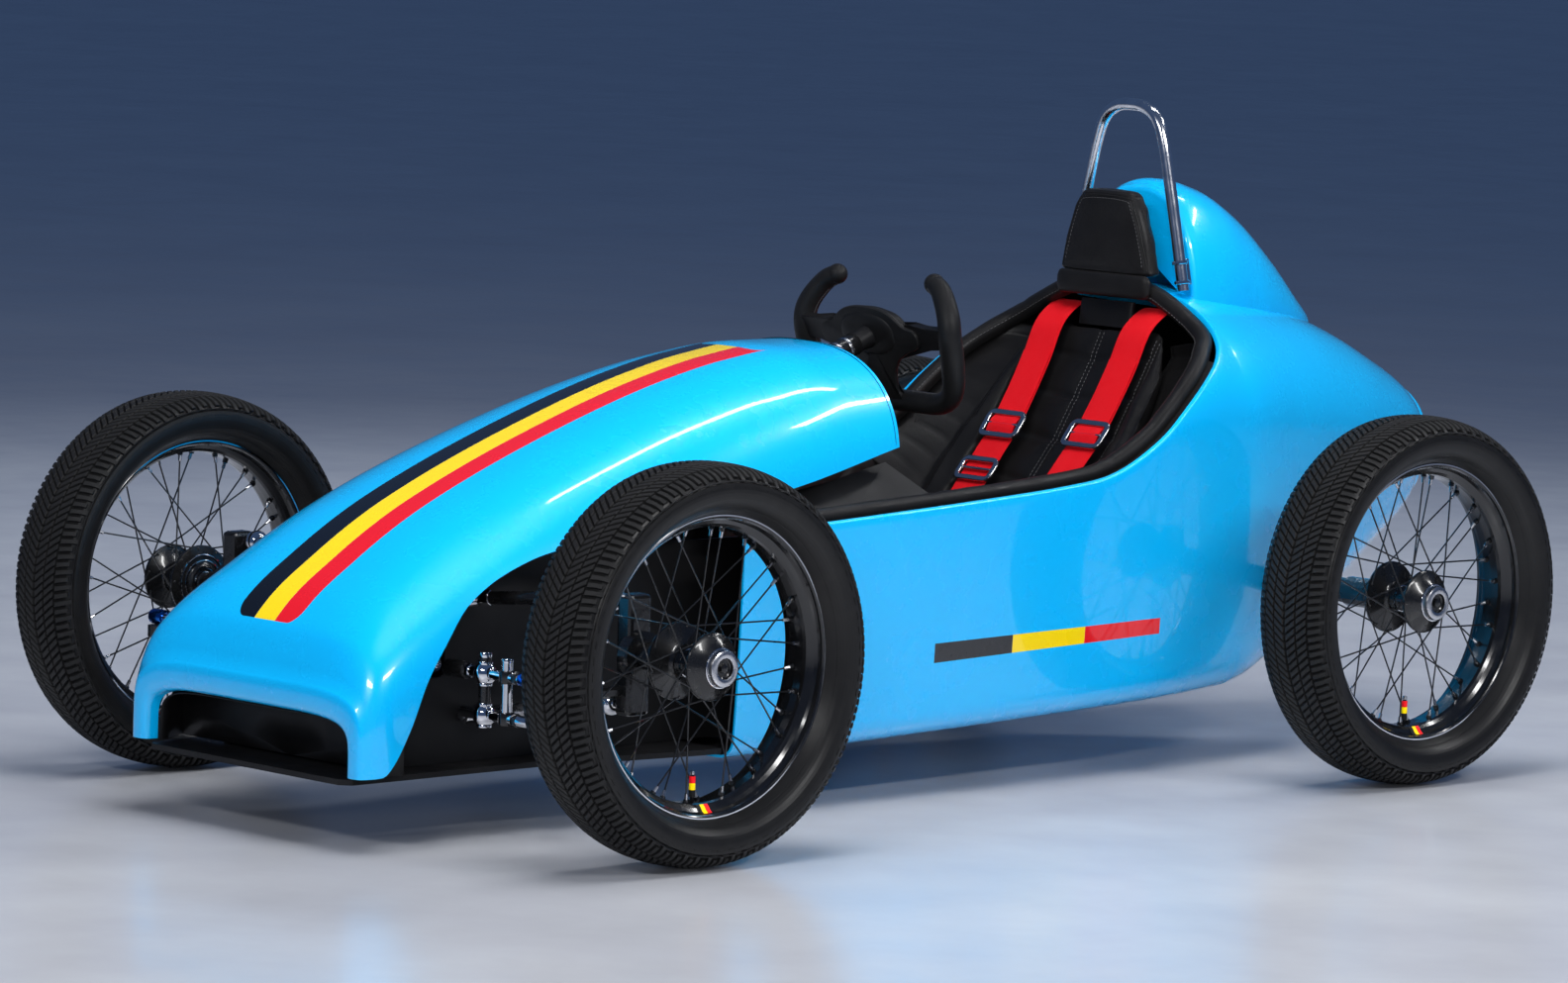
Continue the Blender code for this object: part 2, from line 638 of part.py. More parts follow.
grip_half = [(0.104, 0.068, 0.046), (0.126, 0.058, 0.036), (0.150, 0.030, 0.016), (0.156, 0.0, 0.004), (0.152, -0.046, 0.0),
             (0.138, -0.088, 0.0), (0.108, -0.108, 0.0), (0.060, -0.110, 0.0), (0.0, -0.110, 0.0)]
loop = [in_wheel(*p) for p in grip_half] + [in_wheel(-p[0], p[1], p[2]) for p in reversed(grip_half[:-1])]
grip = tube("steering_wheel", curve_points(loop, 30), 0.0150, 1)
tips = [ball("tip", in_wheel(s * 0.1045, 0.0675, 0.0455), 0.0165, 10, 6) for s in (1, -1)]


def plate(name, uv, w0, w1):
    bm = bmesh.new()
    a = [bm.verts.new(in_wheel(u, v, w0)) for u, v in uv]
    b = [bm.verts.new(in_wheel(u, v, w1)) for u, v in uv]
    n = len(uv)
    bm.faces.new(a)
    bm.faces.new(list(reversed(b)))
    for i in range(n):
        bm.faces.new((a[i], b[i], b[(i + 1) % n], a[(i + 1) % n]))
    bmesh.ops.triangulate(bm, faces=[f for f in bm.faces if len(f.verts) > 4])
    return obj_from_bm(name, bm)


pad_uv = []
for i in range(13):
    a = radians(25 + 130 * i / 12)
    pad_uv.append((0.070 * cos(a), 0.043 * sin(a)))
pad_uv += [(-0.152, 0.020), (-0.152, -0.016), (-0.050, -0.038), (0.050, -0.038), (0.152, -0.016), (0.152, 0.020)]
spokes = plate("spokes", pad_uv, -0.008, 0.008)
stem = plate("stem", [(-0.020, -0.107), (0.020, -0.107), (0.020, -0.02), (-0.020, -0.02)], -0.0045, 0.0045)
hubw = rod("hubw", in_wheel(0, 0, -0.045), in_wheel(0, 0, 0.010), 0.026, 20)
join(grip, tips + [spokes, stem, hubw])
origin_to(grip, WHEEL_TOP)
finish_object(grip, LEATHER)
smooth(grip, 50)

column = rod("steering_column", COLUMN_FOOT, WHEEL_TOP - axis * 0.0454, COLUMN_R, 14)
collar = rod("collar", WHEEL_TOP - axis * 0.110, WHEEL_TOP - axis * 0.0454, 0.018, 16)
join(column, [collar])
origin_to(column, WHEEL_TOP)
finish_object(column, BLACK_METAL)

# ---------------------------------------------------------------- steering rack
house = block("rack_housing", (0.170, 0.040, 0.044), (0, Y(-STEER_ARM), RACK_Z), 0.006, 2)
foot_post = block("post", (0.060, 0.034, RACK_Z - 0.020 - 0.1078), (0, Y(-STEER_ARM), (RACK_Z - 0.020 + 0.1078) / 2 + 0.002))
foot_post.location.z -= 0.002
bpy.context.view_layer.update()
snout = block("snout", (0.040, 0.060, 0.050), (0, Y(-0.150), RACK_Z + 0.030), 0.008, 2)
join(house, [foot_post])
rack_bore = rod("cut_rackbore", (-0.2, Y(-STEER_ARM), RACK_Z), (0.2, Y(-STEER_ARM), RACK_Z), 0.0115, 16)
join(house, [rack_bore], 'DIFFERENCE')
bpy.data.objects.remove(snout, do_unlink=True)
finish_object(house, ALLOY)

bar = rod("rack_bar", (-0.196, Y(-STEER_ARM), RACK_Z), (0.196, Y(-STEER_ARM), RACK_Z), 0.0095, 14)
origin_to(bar, (0, Y(-STEER_ARM), RACK_Z))
finish_object(bar, CHROME)

# ---------------------------------------------------------------- pedals and crank housing
crank_post = block("crank_housing", (0.052, 0.075, CRANK_Z + 0.020 - 0.1078), (0, CRANK_Y, (CRANK_Z + 0.020 + 0.1078) / 2),
                   0.008, 2)
shell = rod("bb", (-0.036, CRANK_Y, CRANK_Z), (0.036, CRANK_Y, CRANK_Z), 0.028, 20)
join(crank_post, [shell])
bb_bore = rod("cut_bb", (-0.08, CRANK_Y, CRANK_Z), (0.08, CRANK_Y, CRANK_Z), 0.0125, 20)
join(crank_post, [bb_bore], 'DIFFERENCE')
finish_object(crank_post, BLACK_METAL)

spin = rod("crankset", (-0.062, CRANK_Y, CRANK_Z), (0.062, CRANK_Y, CRANK_Z), 0.0110, 16)
extra = []
for s in (1, -1):
    extra.append(block("arm", (0.012, 0.026, CRANK_L + 0.026), (s * 0.050, CRANK_Y, CRANK_Z + s * CRANK_L / 2)))
    extra.append(rod("pin", (s * 0.046, CRANK_Y, CRANK_Z + s * CRANK_L), (s * 0.135, CRANK_Y, CRANK_Z + s * CRANK_L), 0.0055, 8))
    extra.append(block("pedal", (0.066, 0.070, 0.016), (s * 0.100, CRANK_Y, CRANK_Z + s * CRANK_L)))
join(spin, extra)
origin_to(spin, (0, CRANK_Y, CRANK_Z))
finish_object(spin, BLACK_METAL)

# ---------------------------------------------------------------- front suspension
for sx, side_name in ((-1, "right"),):
    X = lambda v: sx * v
    # wishbones: two legs from the foot box to a ball at the kingpin
    for tag, z_in, z_out, ry in (("upper", 0.335, 0.352, 0.010), ("lower", 0.170, 0.206, 0.011)):
        apex = Vector((X(KINGPIN_X - 0.030), Y(0), z_out))
        front = Vector((X(0.1745), Y(-0.075), z_in))
        back = Vector((X(0.1745), Y(0.120), z_in))
        arm = rod(tag + "_arm_" + side_name, front, apex, ry, 9)
        leg2 = rod("leg", back, apex, ry, 9)
        knob = ball("knob", apex, 0.0175, 12, 8)
        eye1 = rod("eye1", front + Vector((X(0.006), -0.016, 0)), front + Vector((X(0.006), 0.016, 0)), 0.0125, 10)
        eye2 = rod("eye2", back + Vector((X(0.006), -0.016, 0)), back + Vector((X(0.006), 0.016, 0)), 0.0125, 10)
        join(arm, [leg2, knob, eye1, eye2])
        # keep clear of the foot box wall
        trimmer = block("cut_wall", (0.060, 0.5, 0.2), (X(0.1685 - 0.030), Y(0), z_in))
        join(arm, [trimmer], 'DIFFERENCE')
        finish_object(arm, STEEL if tag == "lower" else BLACK_METAL)
        smooth(arm, 45)
    # knuckle: upright, kingpin bosses, stub axle, steering arm
    kx = KINGPIN_X
    up_body = block("knuckle_" + side_name, (0.030, 0.040, 0.170), (X(kx + 0.012), Y(0), 0.279), 0.006, 2)
    parts = [
        turned("stub", [(0.0, X(kx + 0.0165)), (0.034, X(kx + 0.0165)), (0.034, X(kx + 0.0360)), (0.020, X(kx + 0.0375)),
                        (0.0165, X(HALF_TRACK - 0.0520)), (AXLE_R, X(HALF_TRACK - 0.0515)), (AXLE_R, X(HALF_TRACK + 0.0480)),
                        (0.0, X(HALF_TRACK + 0.0480))], (0, Y(0), HUB_Z), 16),
        block("s_arm", (0.018, STEER_ARM, 0.016), (X(kx + 0.004), Y(-STEER_ARM / 2), 0.2275), 0.004, 1),
        rod("pin_boss", (X(kx), Y(-STEER_ARM), 0.2195), (X(kx), Y(-STEER_ARM), 0.2355), 0.017, 16),
    ]
    join(up_body, parts)
    # seats that the wishbone balls sit in, left open on the inside with a running gap
    for z_out in (0.352, 0.206):
        seat_cut = ball("cut_ball", (X(kx - 0.030), Y(0), z_out), 0.0260, 12, 8)
        join(up_body, [seat_cut], 'DIFFERENCE')
    origin_to(up_body, (X(kx), Y(0), HUB_Z))
    finish_object(up_body, BLACK_METAL)
    smooth(up_body, 40)
    # tie rod: two lateral rods tied by two upright tubes, rod ends with balls
    ty = Y(-STEER_ARM)
    tie = rod("tie_rod_" + side_name, (X(0.222), ty, RACK_Z), (X(kx + 0.012), ty, RACK_Z), 0.0085, 10)
    tparts = [
        rod("low_rod", (X(0.2535), ty, LINK_Z), (X(kx + 0.0125), ty, LINK_Z), 0.0084, 10),
        ball("be1", (X(0.300), ty, RACK_Z), 0.0185, 10, 6),
        ball("be2", (X(0.300), ty, LINK_Z), 0.0175, 10, 6),
        rod("post1", (X(0.300), ty, LINK_Z - 0.012), (X(0.300), ty, RACK_Z + 0.030), 0.0095, 8),
        rod("post2", (X(0.346), ty, LINK_Z - 0.006), (X(0.346), ty, RACK_Z + 0.026), 0.0085, 8),
        rod("sleeve1", (X(0.222), ty, RACK_Z), (X(0.262), ty, RACK_Z), 0.0125, 8),
        rod("tip_u", (X(kx - 0.014), ty, RACK_Z), (X(kx + 0.014), ty, RACK_Z), 0.0115, 8),
        rod("tip_l", (X(kx - 0.014), ty, LINK_Z), (X(kx + 0.014), ty, LINK_Z), 0.0115, 8),
    ]
    join(tie, tparts)
    origin_to(tie, (X(kx), ty, RACK_Z))
    finish_object(tie, CHROME)
    smooth(tie, 45)
for piece, look in (("upper_arm", BLACK_METAL), ("lower_arm", STEEL), ("knuckle", BLACK_METAL), ("tie_rod", CHROME)):
    mirrored(bpy.data.objects[piece + "_right"], piece + "_left", look)

# ---------------------------------------------------------------- rear axle beam
beam = rod("rear_axle_beam", (-(HALF_TRACK - 0.075), REAR_AXLE_Y, HUB_Z), (HALF_TRACK - 0.075, REAR_AXLE_Y, HUB_Z), 0.019, 14)
bparts = []
for s in (1, -1):
    bparts.append(turned("stub", [(0.0, s * 0.440), (0.0225, s * 0.440), (0.0225, s * (HALF_TRACK - 0.0700)),
                                  (0.0165, s * (HALF_TRACK - 0.0520)), (AXLE_R, s * (HALF_TRACK - 0.0515)),
                                  (AXLE_R, s * (HALF_TRACK + 0.0480)), (0.0, s * (HALF_TRACK + 0.0480))],
                         (0, REAR_AXLE_Y, HUB_Z), 14))
    bparts.append(block("hanger", (0.012, 0.060, 0.150), (s * 0.150, REAR_AXLE_Y, HUB_Z - 0.060)))
join(beam, bparts)
finish_object(beam, BLACK_METAL)
smooth(beam, 45)

drive = block("drive_unit", (0.240, 0.170, 0.150), (0, Y(1.62) - 0.13, 0.0), 0.010, 2)
drive.location.z = 0.455
bpy.context.view_layer.update()
drive.data.transform(Matrix.Translation(drive.location))
drive.location = (0, 0, 0)
drive.data.transform(Matrix.Translation(Vector((0, 0.09, -0.025))))
finish_object(drive, ALLOY)

# ---------------------------------------------------------------- wheels
TYRE = [(0.2120, 0.0400), (0.2270, 0.0610), (0.2460, 0.0675), (0.2630, 0.0630), (0.2745, 0.0450), (0.2800, 0.0150)]
tyre_ring = [(r, x) for r, x in TYRE] + [(r, -x) for r, x in reversed(TYRE)]
rim_ring = [(0.2110, 0.0385), (0.2040, 0.0375), (0.1985, 0.0270), (0.1900, 0.0150),
            (0.1900, -0.0150), (0.1985, -0.0270), (0.2040, -0.0375), (0.2110, -0.0385)]
rim_ring = [(r - 0.0004, x) for r, x in rim_ring]
HUB = [(HUB_BORE_R, -0.0500), (0.0250, -0.0500), (0.0540, -0.0410), (0.0540, -0.0350), (0.0185, -0.0230),
       (0.0185, 0.0180), (0.0475, 0.0290), (0.0475, 0.0345), (0.0280, 0.0480), (0.0230, 0.0600), (HUB_BORE_R, 0.0600)]


def spoke(a, b, w=0.0014):
    """A thin square bar, cheap to mesh."""
    return rod("spoke", a, b, w * 1.4, 4)


def wheel(name, sx, wy):
    centre = Vector((sx * HALF_TRACK, wy, HUB_Z))
    ty = turned("tyre_" + name, [(r, x) for r, x in tyre_ring], centre, 28)
    origin_to(ty, centre)
    finish_object(ty, RUBBER)
    smooth(ty, 50)
    rm = turned("spoked_wheel_" + name, [(r, x * sx) for r, x in rim_ring], centre, 28)
    hb = turned("hub", [(r, x * sx) for r, x in HUB], centre, 14)
    bm = bmesh.new()
    pieces = []
    count = 20
    for i in range(count):
        outer = i % 2 == 0
        a_rim = 2 * pi * (i + 0.5) / count
        lead = 1 if (i // 2) % 2 == 0 else -1
        a_hub = a_rim + lead * radians(52)
        xh = 0.0320 if outer else -0.0375
        rh = 0.0420 if outer else 0.0470
        p = Vector((sx * xh, rh * cos(a_hub), rh * sin(a_hub)))
        q = Vector((sx * (0.006 if outer else -0.006), 0.1915 * cos(a_rim), 0.1915 * sin(a_rim)))
        # small offsets keep crossing spokes apart
        p.x += sx * (0.0011 if lead > 0 else -0.0011)
        q.x += sx * (0.0016 if lead > 0 else -0.0016)
        d = q - p
        m = bmesh.new()
        bmesh.ops.create_cone(m, cap_ends=True, segments=3, radius1=0.0022, radius2=0.0022, depth=d.length)
        m.transform(Matrix.Translation(centre + (p + q) / 2) @ d.to_track_quat('Z', 'Y').to_matrix().to_4x4())
        tmp = bpy.data.meshes.new("t")
        m.to_mesh(tmp)
        m.free()
        bm.from_mesh(tmp)
        bpy.data.meshes.remove(tmp)
    sp = obj_from_bm("spokes", bm)
    md = rm.modifiers.new("union", 'BOOLEAN')
    md.operation = 'UNION'
    md.solver = 'EXACT'
    md.use_self = True
    md.object = sp
    apply_all(rm)
    bpy.data.objects.remove(sp, do_unlink=True)
    join(rm, [hb])
    origin_to(rm, centre)
    finish_object(rm, BLACK_METAL)
    smooth(rm, 40)
    return ty, rm


for nm, sx, wy in (("front_left", 1, FRONT_AXLE_Y), ("front_right", -1, FRONT_AXLE_Y),
                   ("rear_left", 1, REAR_AXLE_Y), ("rear_right", -1, REAR_AXLE_Y)):
    wheel(nm, sx, wy)

# ---------------------------------------------------------------- seat
BACK = [(1.085, 0.245, 0.170), (1.130, 0.296, 0.186), (1.180, 0.358, 0.194), (1.225, 0.410, 0.197), (1.287, 0.481, 0.192),
        (1.350, 0.580, 0.172), (1.385, 0.648, 0.135)]
sections = []
for i, (fy, z, w) in enumerate(BACK):
    a = BACK[max(0, i - 1)]
    b = BACK[min(len(BACK) - 1, i + 1)]
    t = Vector((0, b[0] - a[0], b[1] - a[1])).normalized()
    nrm = Vector((0, -t.z, t.y))
    ring = []
    for k in range(14):
        ang = 2 * pi * k / 14
        c, s = cos(ang), sin(ang)
        x = w * (1 if c >= 0 else -1) * abs(c) ** 0.45
        d = 0.024 * (1 if s >= 0 else -1) * abs(s) ** 0.45
        dish = 0.050 * (abs(x) / 0.197) ** 4
        ring.append(Vector((x, Y(fy), z)) + nrm * (d + dish))
    sections.append(ring)
back = solid_loft("seat_back", sections)
finish_object(back, LEATHER)
smooth(back, 60)

base = []
for fy, z, w in ((0.690, 0.214, 0.150), (0.720, 0.212, 0.176), (0.880, 0.190, 0.186), (1.000, 0.182, 0.182),
                 (1.050, 0.190, 0.176)):
    ring = []
    for k in range(14):
        ang = 2 * pi * k / 14
        c, s = cos(ang), sin(ang)
        x = w * (1 if c >= 0 else -1) * abs(c) ** 0.4
        d = (0.030 if fy > 0.7 else 0.018) * (1 if s >= 0 else -1) * abs(s) ** 0.5
        ring.append(Vector((x, Y(fy), z + d + 0.018 * (abs(x) / w) ** 3)))
    base.append(ring)
seat = solid_loft("seat_base", base)
finish_object(seat, LEATHER)
smooth(seat, 60)

# side bolsters: padded leather lining of the tub beside the driver
bol = []
for fy, zb, zt, xo in ((0.775, 0.140, 0.405, 0.266), (0.90, 0.140, 0.418, 0.271), (1.05, 0.145, 0.432, 0.272),
                       (1.16, 0.190, 0.468, 0.272), (1.235, 0.290, 0.520, 0.268), (1.295, 0.400, 0.565, 0.258)):
    th = 0.042 if fy < 1.2 else 0.038
    ring = []
    for k in range(12):
        ang = 2 * pi * k / 12
        c, s = cos(ang), sin(ang)
        h = (zt - zb) / 2
        ring.append((xo - th / 2 + th / 2 * (1 if c >= 0 else -1) * abs(c) ** 0.6, Y(fy),
                     (zt + zb) / 2 + h * (1 if s >= 0 else -1) * abs(s) ** 0.6))
    bol.append(ring)
bolster = solid_loft("side_bolster_left", bol)
finish_object(bolster, LEATHER)
smooth(bolster, 60)
mirrored(bolster, "side_bolster_right", LEATHER)

# ---------------------------------------------------------------- headrest pad
hr = []
for z, w, f in ((0.7325, 0.096, 0.8), (0.740, 0.102, 1.0), (0.790, 0.091, 1.0), (0.840, 0.073, 1.0), (0.862, 0.060, 0.85),
                (0.869, 0.050, 0.6)):
    ring = []
    yc = Y(1.3785)
    for k in range(16):
        ang = 2 * pi * k / 16
        c, s = cos(ang), sin(ang)
        ring.append((w * (1 if c >= 0 else -1) * abs(c) ** 0.5, yc + 0.0235 * f * (1 if s >= 0 else -1) * abs(s) ** 0.5, z))
    hr.append(ring)
head = solid_loft("headrest", hr)
finish_object(head, LEATHER)
smooth(head, 60)

# ---------------------------------------------------------------- roll hoop
HY = Y(1.4150)
hoop_half = [(0.123, HY, 0.716), (0.107, HY, 0.790), (0.089, HY, 0.868), (0.070, HY, 0.945), (0.054, HY, 0.980),
             (0.029, HY, 0.9965), (0.0, HY, 1.000)]
hoop_pts = curve_points([Vector(p) for p in hoop_half] + [Vector((-p[0], p[1], p[2])) for p in reversed(hoop_half[:-1])], 26)
hoop = tube("roll_hoop", hoop_pts, 0.0095, 1)
finish_object(hoop, CHROME)
smooth(hoop, 60)

for s, nm in ((1, "left"), (-1, "right")):
    a = Vector((s * 0.1209, HY, 0.7260))
    b = Vector((s * 0.1126, HY, 0.7640))
    d = (b - a).normalized()
    ring = rod("hoop_clamp_" + nm, a, b, 0.0150, 18)
    hole = rod("cut", a - d * 0.02, b + d * 0.02, 0.0098, 18)
    lug = block("lug", (0.012, 0.010, 0.024), (s * 0.1168, HY + 0.0115, 0.745), 0.001, 1)
    lug.location.y = -0.0
    join(ring, [lug])
    join(ring, [hole], 'DIFFERENCE')
    mid = block("cut_mid", (0.06, 0.06, 0.010), (s * 0.1168, HY - 0.012, 0.745), 0.0)
    bpy.data.objects.remove(mid, do_unlink=True)
    finish_object(ring, CHROME)
    smooth(ring, 45)

# ---------------------------------------------------------------- harness
def ribbon(name, path, width, thick):
    """Flat webbing along a path; the width stays across the car."""
    secs = []
    for i, p in enumerate(path):
        a, b = path[max(0, i - 1)], path[min(len(path) - 1, i + 1)]
        t = (b - a).normalized()
        across = (Vector((1, 0, 0)) - t * t.x).normalized()
        nrm = t.cross(across).normalized()
        secs.append([p + across * width / 2 + nrm * thick / 2, p - across * width / 2 + nrm * thick / 2,
                     p - across * width / 2 - nrm * thick / 2, p + across * width / 2 - nrm * thick / 2])
    return solid_loft(name, secs)


def back_front(fy):
    """Height of the pad's front surface line over the seat back."""
    return spline([(a, b) for a, b, c in BACK], fy)


STRAP_LINE = [(1.378, 0.093), (1.345, 0.092), (1.287, 0.090), (1.240, 0.088), (1.190, 0.086), (1.145, 0.084), (1.105, 0.082)]

for s, nm in ((1, "left"), (-1, "right")):
    # the tail of each strap passes back under the trim roll
    pts = [Vector((s * 0.095, Y(1.412), 0.680)), Vector((s * 0.094, Y(1.385), 0.680))]
    for fy, x in STRAP_LINE:
        t = Vector((0, 0.02, back_front(fy + 0.01) - back_front(fy - 0.01))).normalized()
        pts.append(Vector((s * x, Y(fy), back_front(fy))) + Vector((0, -t.z, t.y)) * 0.0390)
    st = ribbon("shoulder_strap_" + nm, curve_points(pts, 16), 0.062, 0.0035)
    finish_object(st, WEBBING)
    # slide buckle: a rounded frame lying on the strap
    c = curve_points(pts, 17)[8]
    t = (curve_points(pts, 17)[9] - curve_points(pts, 17)[7]).normalized()
    nrm = Vector((0, -t.z, t.y)).normalized()
    if nrm.y > 0:
        nrm = -nrm
    m = Matrix((Vector((1, 0, 0)), t, nrm)).transposed().to_4x4()
    bm = bmesh.new()
    bmesh.ops.create_cube(bm, size=1.0)
    bmesh.ops.scale(bm, vec=Vector((0.084, 0.052, 0.006)), verts=bm.verts)
    bm.transform(Matrix.Translation(c + nrm * 0.0066) @ m)
    fr = obj_from_bm("strap_buckle_" + nm, bm)
    bm = bmesh.new()
    bmesh.ops.create_cube(bm, size=1.0)
    bmesh.ops.scale(bm, vec=Vector((0.066, 0.034, 0.03)), verts=bm.verts)
    bm.transform(Matrix.Translation(c + nrm * 0.0066) @ m)
    hole = obj_from_bm("cut", bm)
    join(fr, [hole], 'DIFFERENCE')
    finish_object(fr, STEEL)

lap_pts = [Vector((s * x, Y(fy), z)) for s, x, fy, z in
           ((1, 0.196, 1.005, 0.258), (1, 0.150, 0.970, 0.262), (1, 0.075, 0.950, 0.262), (1, 0.0, 0.940, 0.262))]
lap_pts = lap_pts + [Vector((-p.x, p.y, p.z)) for p in reversed(lap_pts[:-1])]
lap = []
for p in curve_points(lap_pts, 18):
    lap.append(p)
secs = []
for i, p in enumerate(lap):
    a, b = lap[max(0, i - 1)], lap[min(len(lap) - 1, i + 1)]
    t = (b - a).normalized()
    vert = Vector((0, 0.45, 0.90)).normalized()
    vert = (vert - t * vert.dot(t)).normalized()
    nrm = t.cross(vert).normalized()
    secs.append([p + vert * 0.025 + nrm * 0.0018, p - vert * 0.025 + nrm * 0.0018,
                 p - vert * 0.025 - nrm * 0.0018, p + vert * 0.025 - nrm * 0.0018])
lapb = solid_loft("lap_strap", secs)
finish_object(lapb, WEBBING)
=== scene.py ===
# Looks of the open four-wheel pedal racing car, built round its CAD frame.
# Metres, +Z up, front of the car towards -Y, its left side towards +X.
import bpy
import bmesh
import numpy as np
from math import sin, cos, pi, radians, sqrt, atan2, asin
from mathutils import Vector, Matrix
from mathutils.bvhtree import BVHTree


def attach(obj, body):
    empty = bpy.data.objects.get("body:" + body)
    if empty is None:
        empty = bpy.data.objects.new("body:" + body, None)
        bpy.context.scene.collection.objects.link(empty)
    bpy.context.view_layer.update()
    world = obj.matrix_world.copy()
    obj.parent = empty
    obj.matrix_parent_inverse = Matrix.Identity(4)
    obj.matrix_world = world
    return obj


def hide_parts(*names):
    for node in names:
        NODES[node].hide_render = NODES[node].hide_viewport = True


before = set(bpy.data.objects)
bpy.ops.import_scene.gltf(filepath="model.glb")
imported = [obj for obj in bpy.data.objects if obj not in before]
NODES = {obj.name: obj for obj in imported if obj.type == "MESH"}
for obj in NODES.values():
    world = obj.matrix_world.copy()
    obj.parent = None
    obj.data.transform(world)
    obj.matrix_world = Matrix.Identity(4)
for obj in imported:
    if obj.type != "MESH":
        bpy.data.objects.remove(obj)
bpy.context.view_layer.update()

# ---------------------------------------------------------------- driving sizes, as in the CAD
FRONT_AXLE_Y = -0.852
WHEELBASE = 1.471
REAR_AXLE_Y = FRONT_AXLE_Y + WHEELBASE
HALF_TRACK = 0.559
HUB_Z = 0.280
KINGPIN_X = 0.420
STEER_ARM = 0.155
RACK_Z = 0.248
LINK_Z = 0.190
NOSE_Y = -1.190
TAIL_Y = 1.190
WALL = 0.006
WHEEL_TOP = Vector((0.0, 0.872 + FRONT_AXLE_Y, 0.662))
COLUMN_FOOT = Vector((0.0, -0.105 + FRONT_AXLE_Y, 0.292))


def Y(fit):
    return fit + FRONT_AXLE_Y


# ---------------------------------------------------------------- curve helpers
def spline(ctrl, x):
    """Monotone piecewise cubic through (x, y) control points."""
    n = len(ctrl)
    if x <= ctrl[0][0]:
        return ctrl[0][1]
    if x >= ctrl[-1][0]:
        return ctrl[-1][1]
    d = [(ctrl[i + 1][1] - ctrl[i][1]) / (ctrl[i + 1][0] - ctrl[i][0]) for i in range(n - 1)]
    m = [d[0]] + [0.0 if d[i - 1] * d[i] <= 0 else 2 * d[i - 1] * d[i] / (d[i - 1] + d[i])
                  for i in range(1, n - 1)] + [d[-1]]
    for i in range(n - 1):
        if x <= ctrl[i + 1][0]:
            h = ctrl[i + 1][0] - ctrl[i][0]
            t = (x - ctrl[i][0]) / h
            return ((2 * t**3 - 3 * t**2 + 1) * ctrl[i][1] + (t**3 - 2 * t**2 + t) * h * m[i]
                    + (-2 * t**3 + 3 * t**2) * ctrl[i + 1][1] + (t**3 - t**2) * h * m[i + 1])


def curve_points(ctrl, count, closed=False):
    """Evenly spread points on a Catmull-Rom curve through 3D control points."""
    c = [Vector(p) for p in ctrl]
    c = [c[-1]] + c + [c[0], c[1]] if closed else [2 * c[0] - c[1]] + c + [2 * c[-1] - c[-2]]
    dense = []
    for i in range(1, len(c) - 2):
        for k in range(24):
            t = k / 24
            dense.append(0.5 * ((2 * c[i]) + (c[i + 1] - c[i - 1]) * t
                                + (2 * c[i - 1] - 5 * c[i] + 4 * c[i + 1] - c[i + 2]) * t * t
                                + (3 * c[i] - c[i - 1] - 3 * c[i + 1] + c[i + 2]) * t**3))
    dense.append(c[-2])
    length = [0.0]
    for a, b in zip(dense[:-1], dense[1:]):
        length.append(length[-1] + (b - a).length)
    out, k = [], 0
    n = count if closed else count - 1
    for i in range(count):
        s = length[-1] * i / n
        while k < len(dense) - 2 and length[k + 1] < s:
            k += 1
        f = (s - length[k]) / max(1e-9, length[k + 1] - length[k])
        out.append(dense[k].lerp(dense[k + 1], min(1.0, f)))
    return out


# ---------------------------------------------------------------- mesh helpers
class Bag:
    """Collects vertices and faces, with a material number for each face."""

    def __init__(self):
        self.v, self.f, self.m = [], [], []

    def add(self, verts, faces, mat=0):
        k = len(self.v)
        self.v.extend(tuple(p) for p in verts)
        self.f.extend(tuple(i + k for i in q) for q in faces)
        self.m.extend([mat] * len(faces))
        return self

    def make(self, name, mats, origin=None, angle=40, merge=0.0, outward=True):
        me = bpy.data.meshes.new(name)
        me.from_pydata(self.v, [], self.f)
        for m in mats:
            me.materials.append(m)
        me.polygons.foreach_set("material_index", self.m)
        me.update()
        bm = bmesh.new()
        bm.from_mesh(me)
        if merge:
            bmesh.ops.remove_doubles(bm, verts=bm.verts, dist=merge)
        if outward:
            bmesh.ops.recalc_face_normals(bm, faces=bm.faces)
        if origin is not None:
            bm.transform(Matrix.Translation(-Vector(origin)))
        bm.to_mesh(me)
        bm.free()
        me.shade_smooth()
        me.set_sharp_from_angle(angle=radians(angle))
        ob = bpy.data.objects.new(name, me)
        bpy.context.scene.collection.objects.link(ob)
        if origin is not None:
            ob.location = Vector(origin)
        return ob


def rows_faces(nr, nc, close_c=False, close_r=False):
    f = []
    for a in range(nr if close_r else nr - 1):
        for b in range(nc if close_c else nc - 1):
            f.append((a * nc + b, a * nc + (b + 1) % nc, ((a + 1) % nr) * nc + (b + 1) % nc, ((a + 1) % nr) * nc + b))
    return f


def grid(bag, rows, mat=0, close_c=False, close_r=False):
    v = [p for r in rows for p in r]
    return bag.add(v, rows_faces(len(rows), len(rows[0]), close_c, close_r), mat)


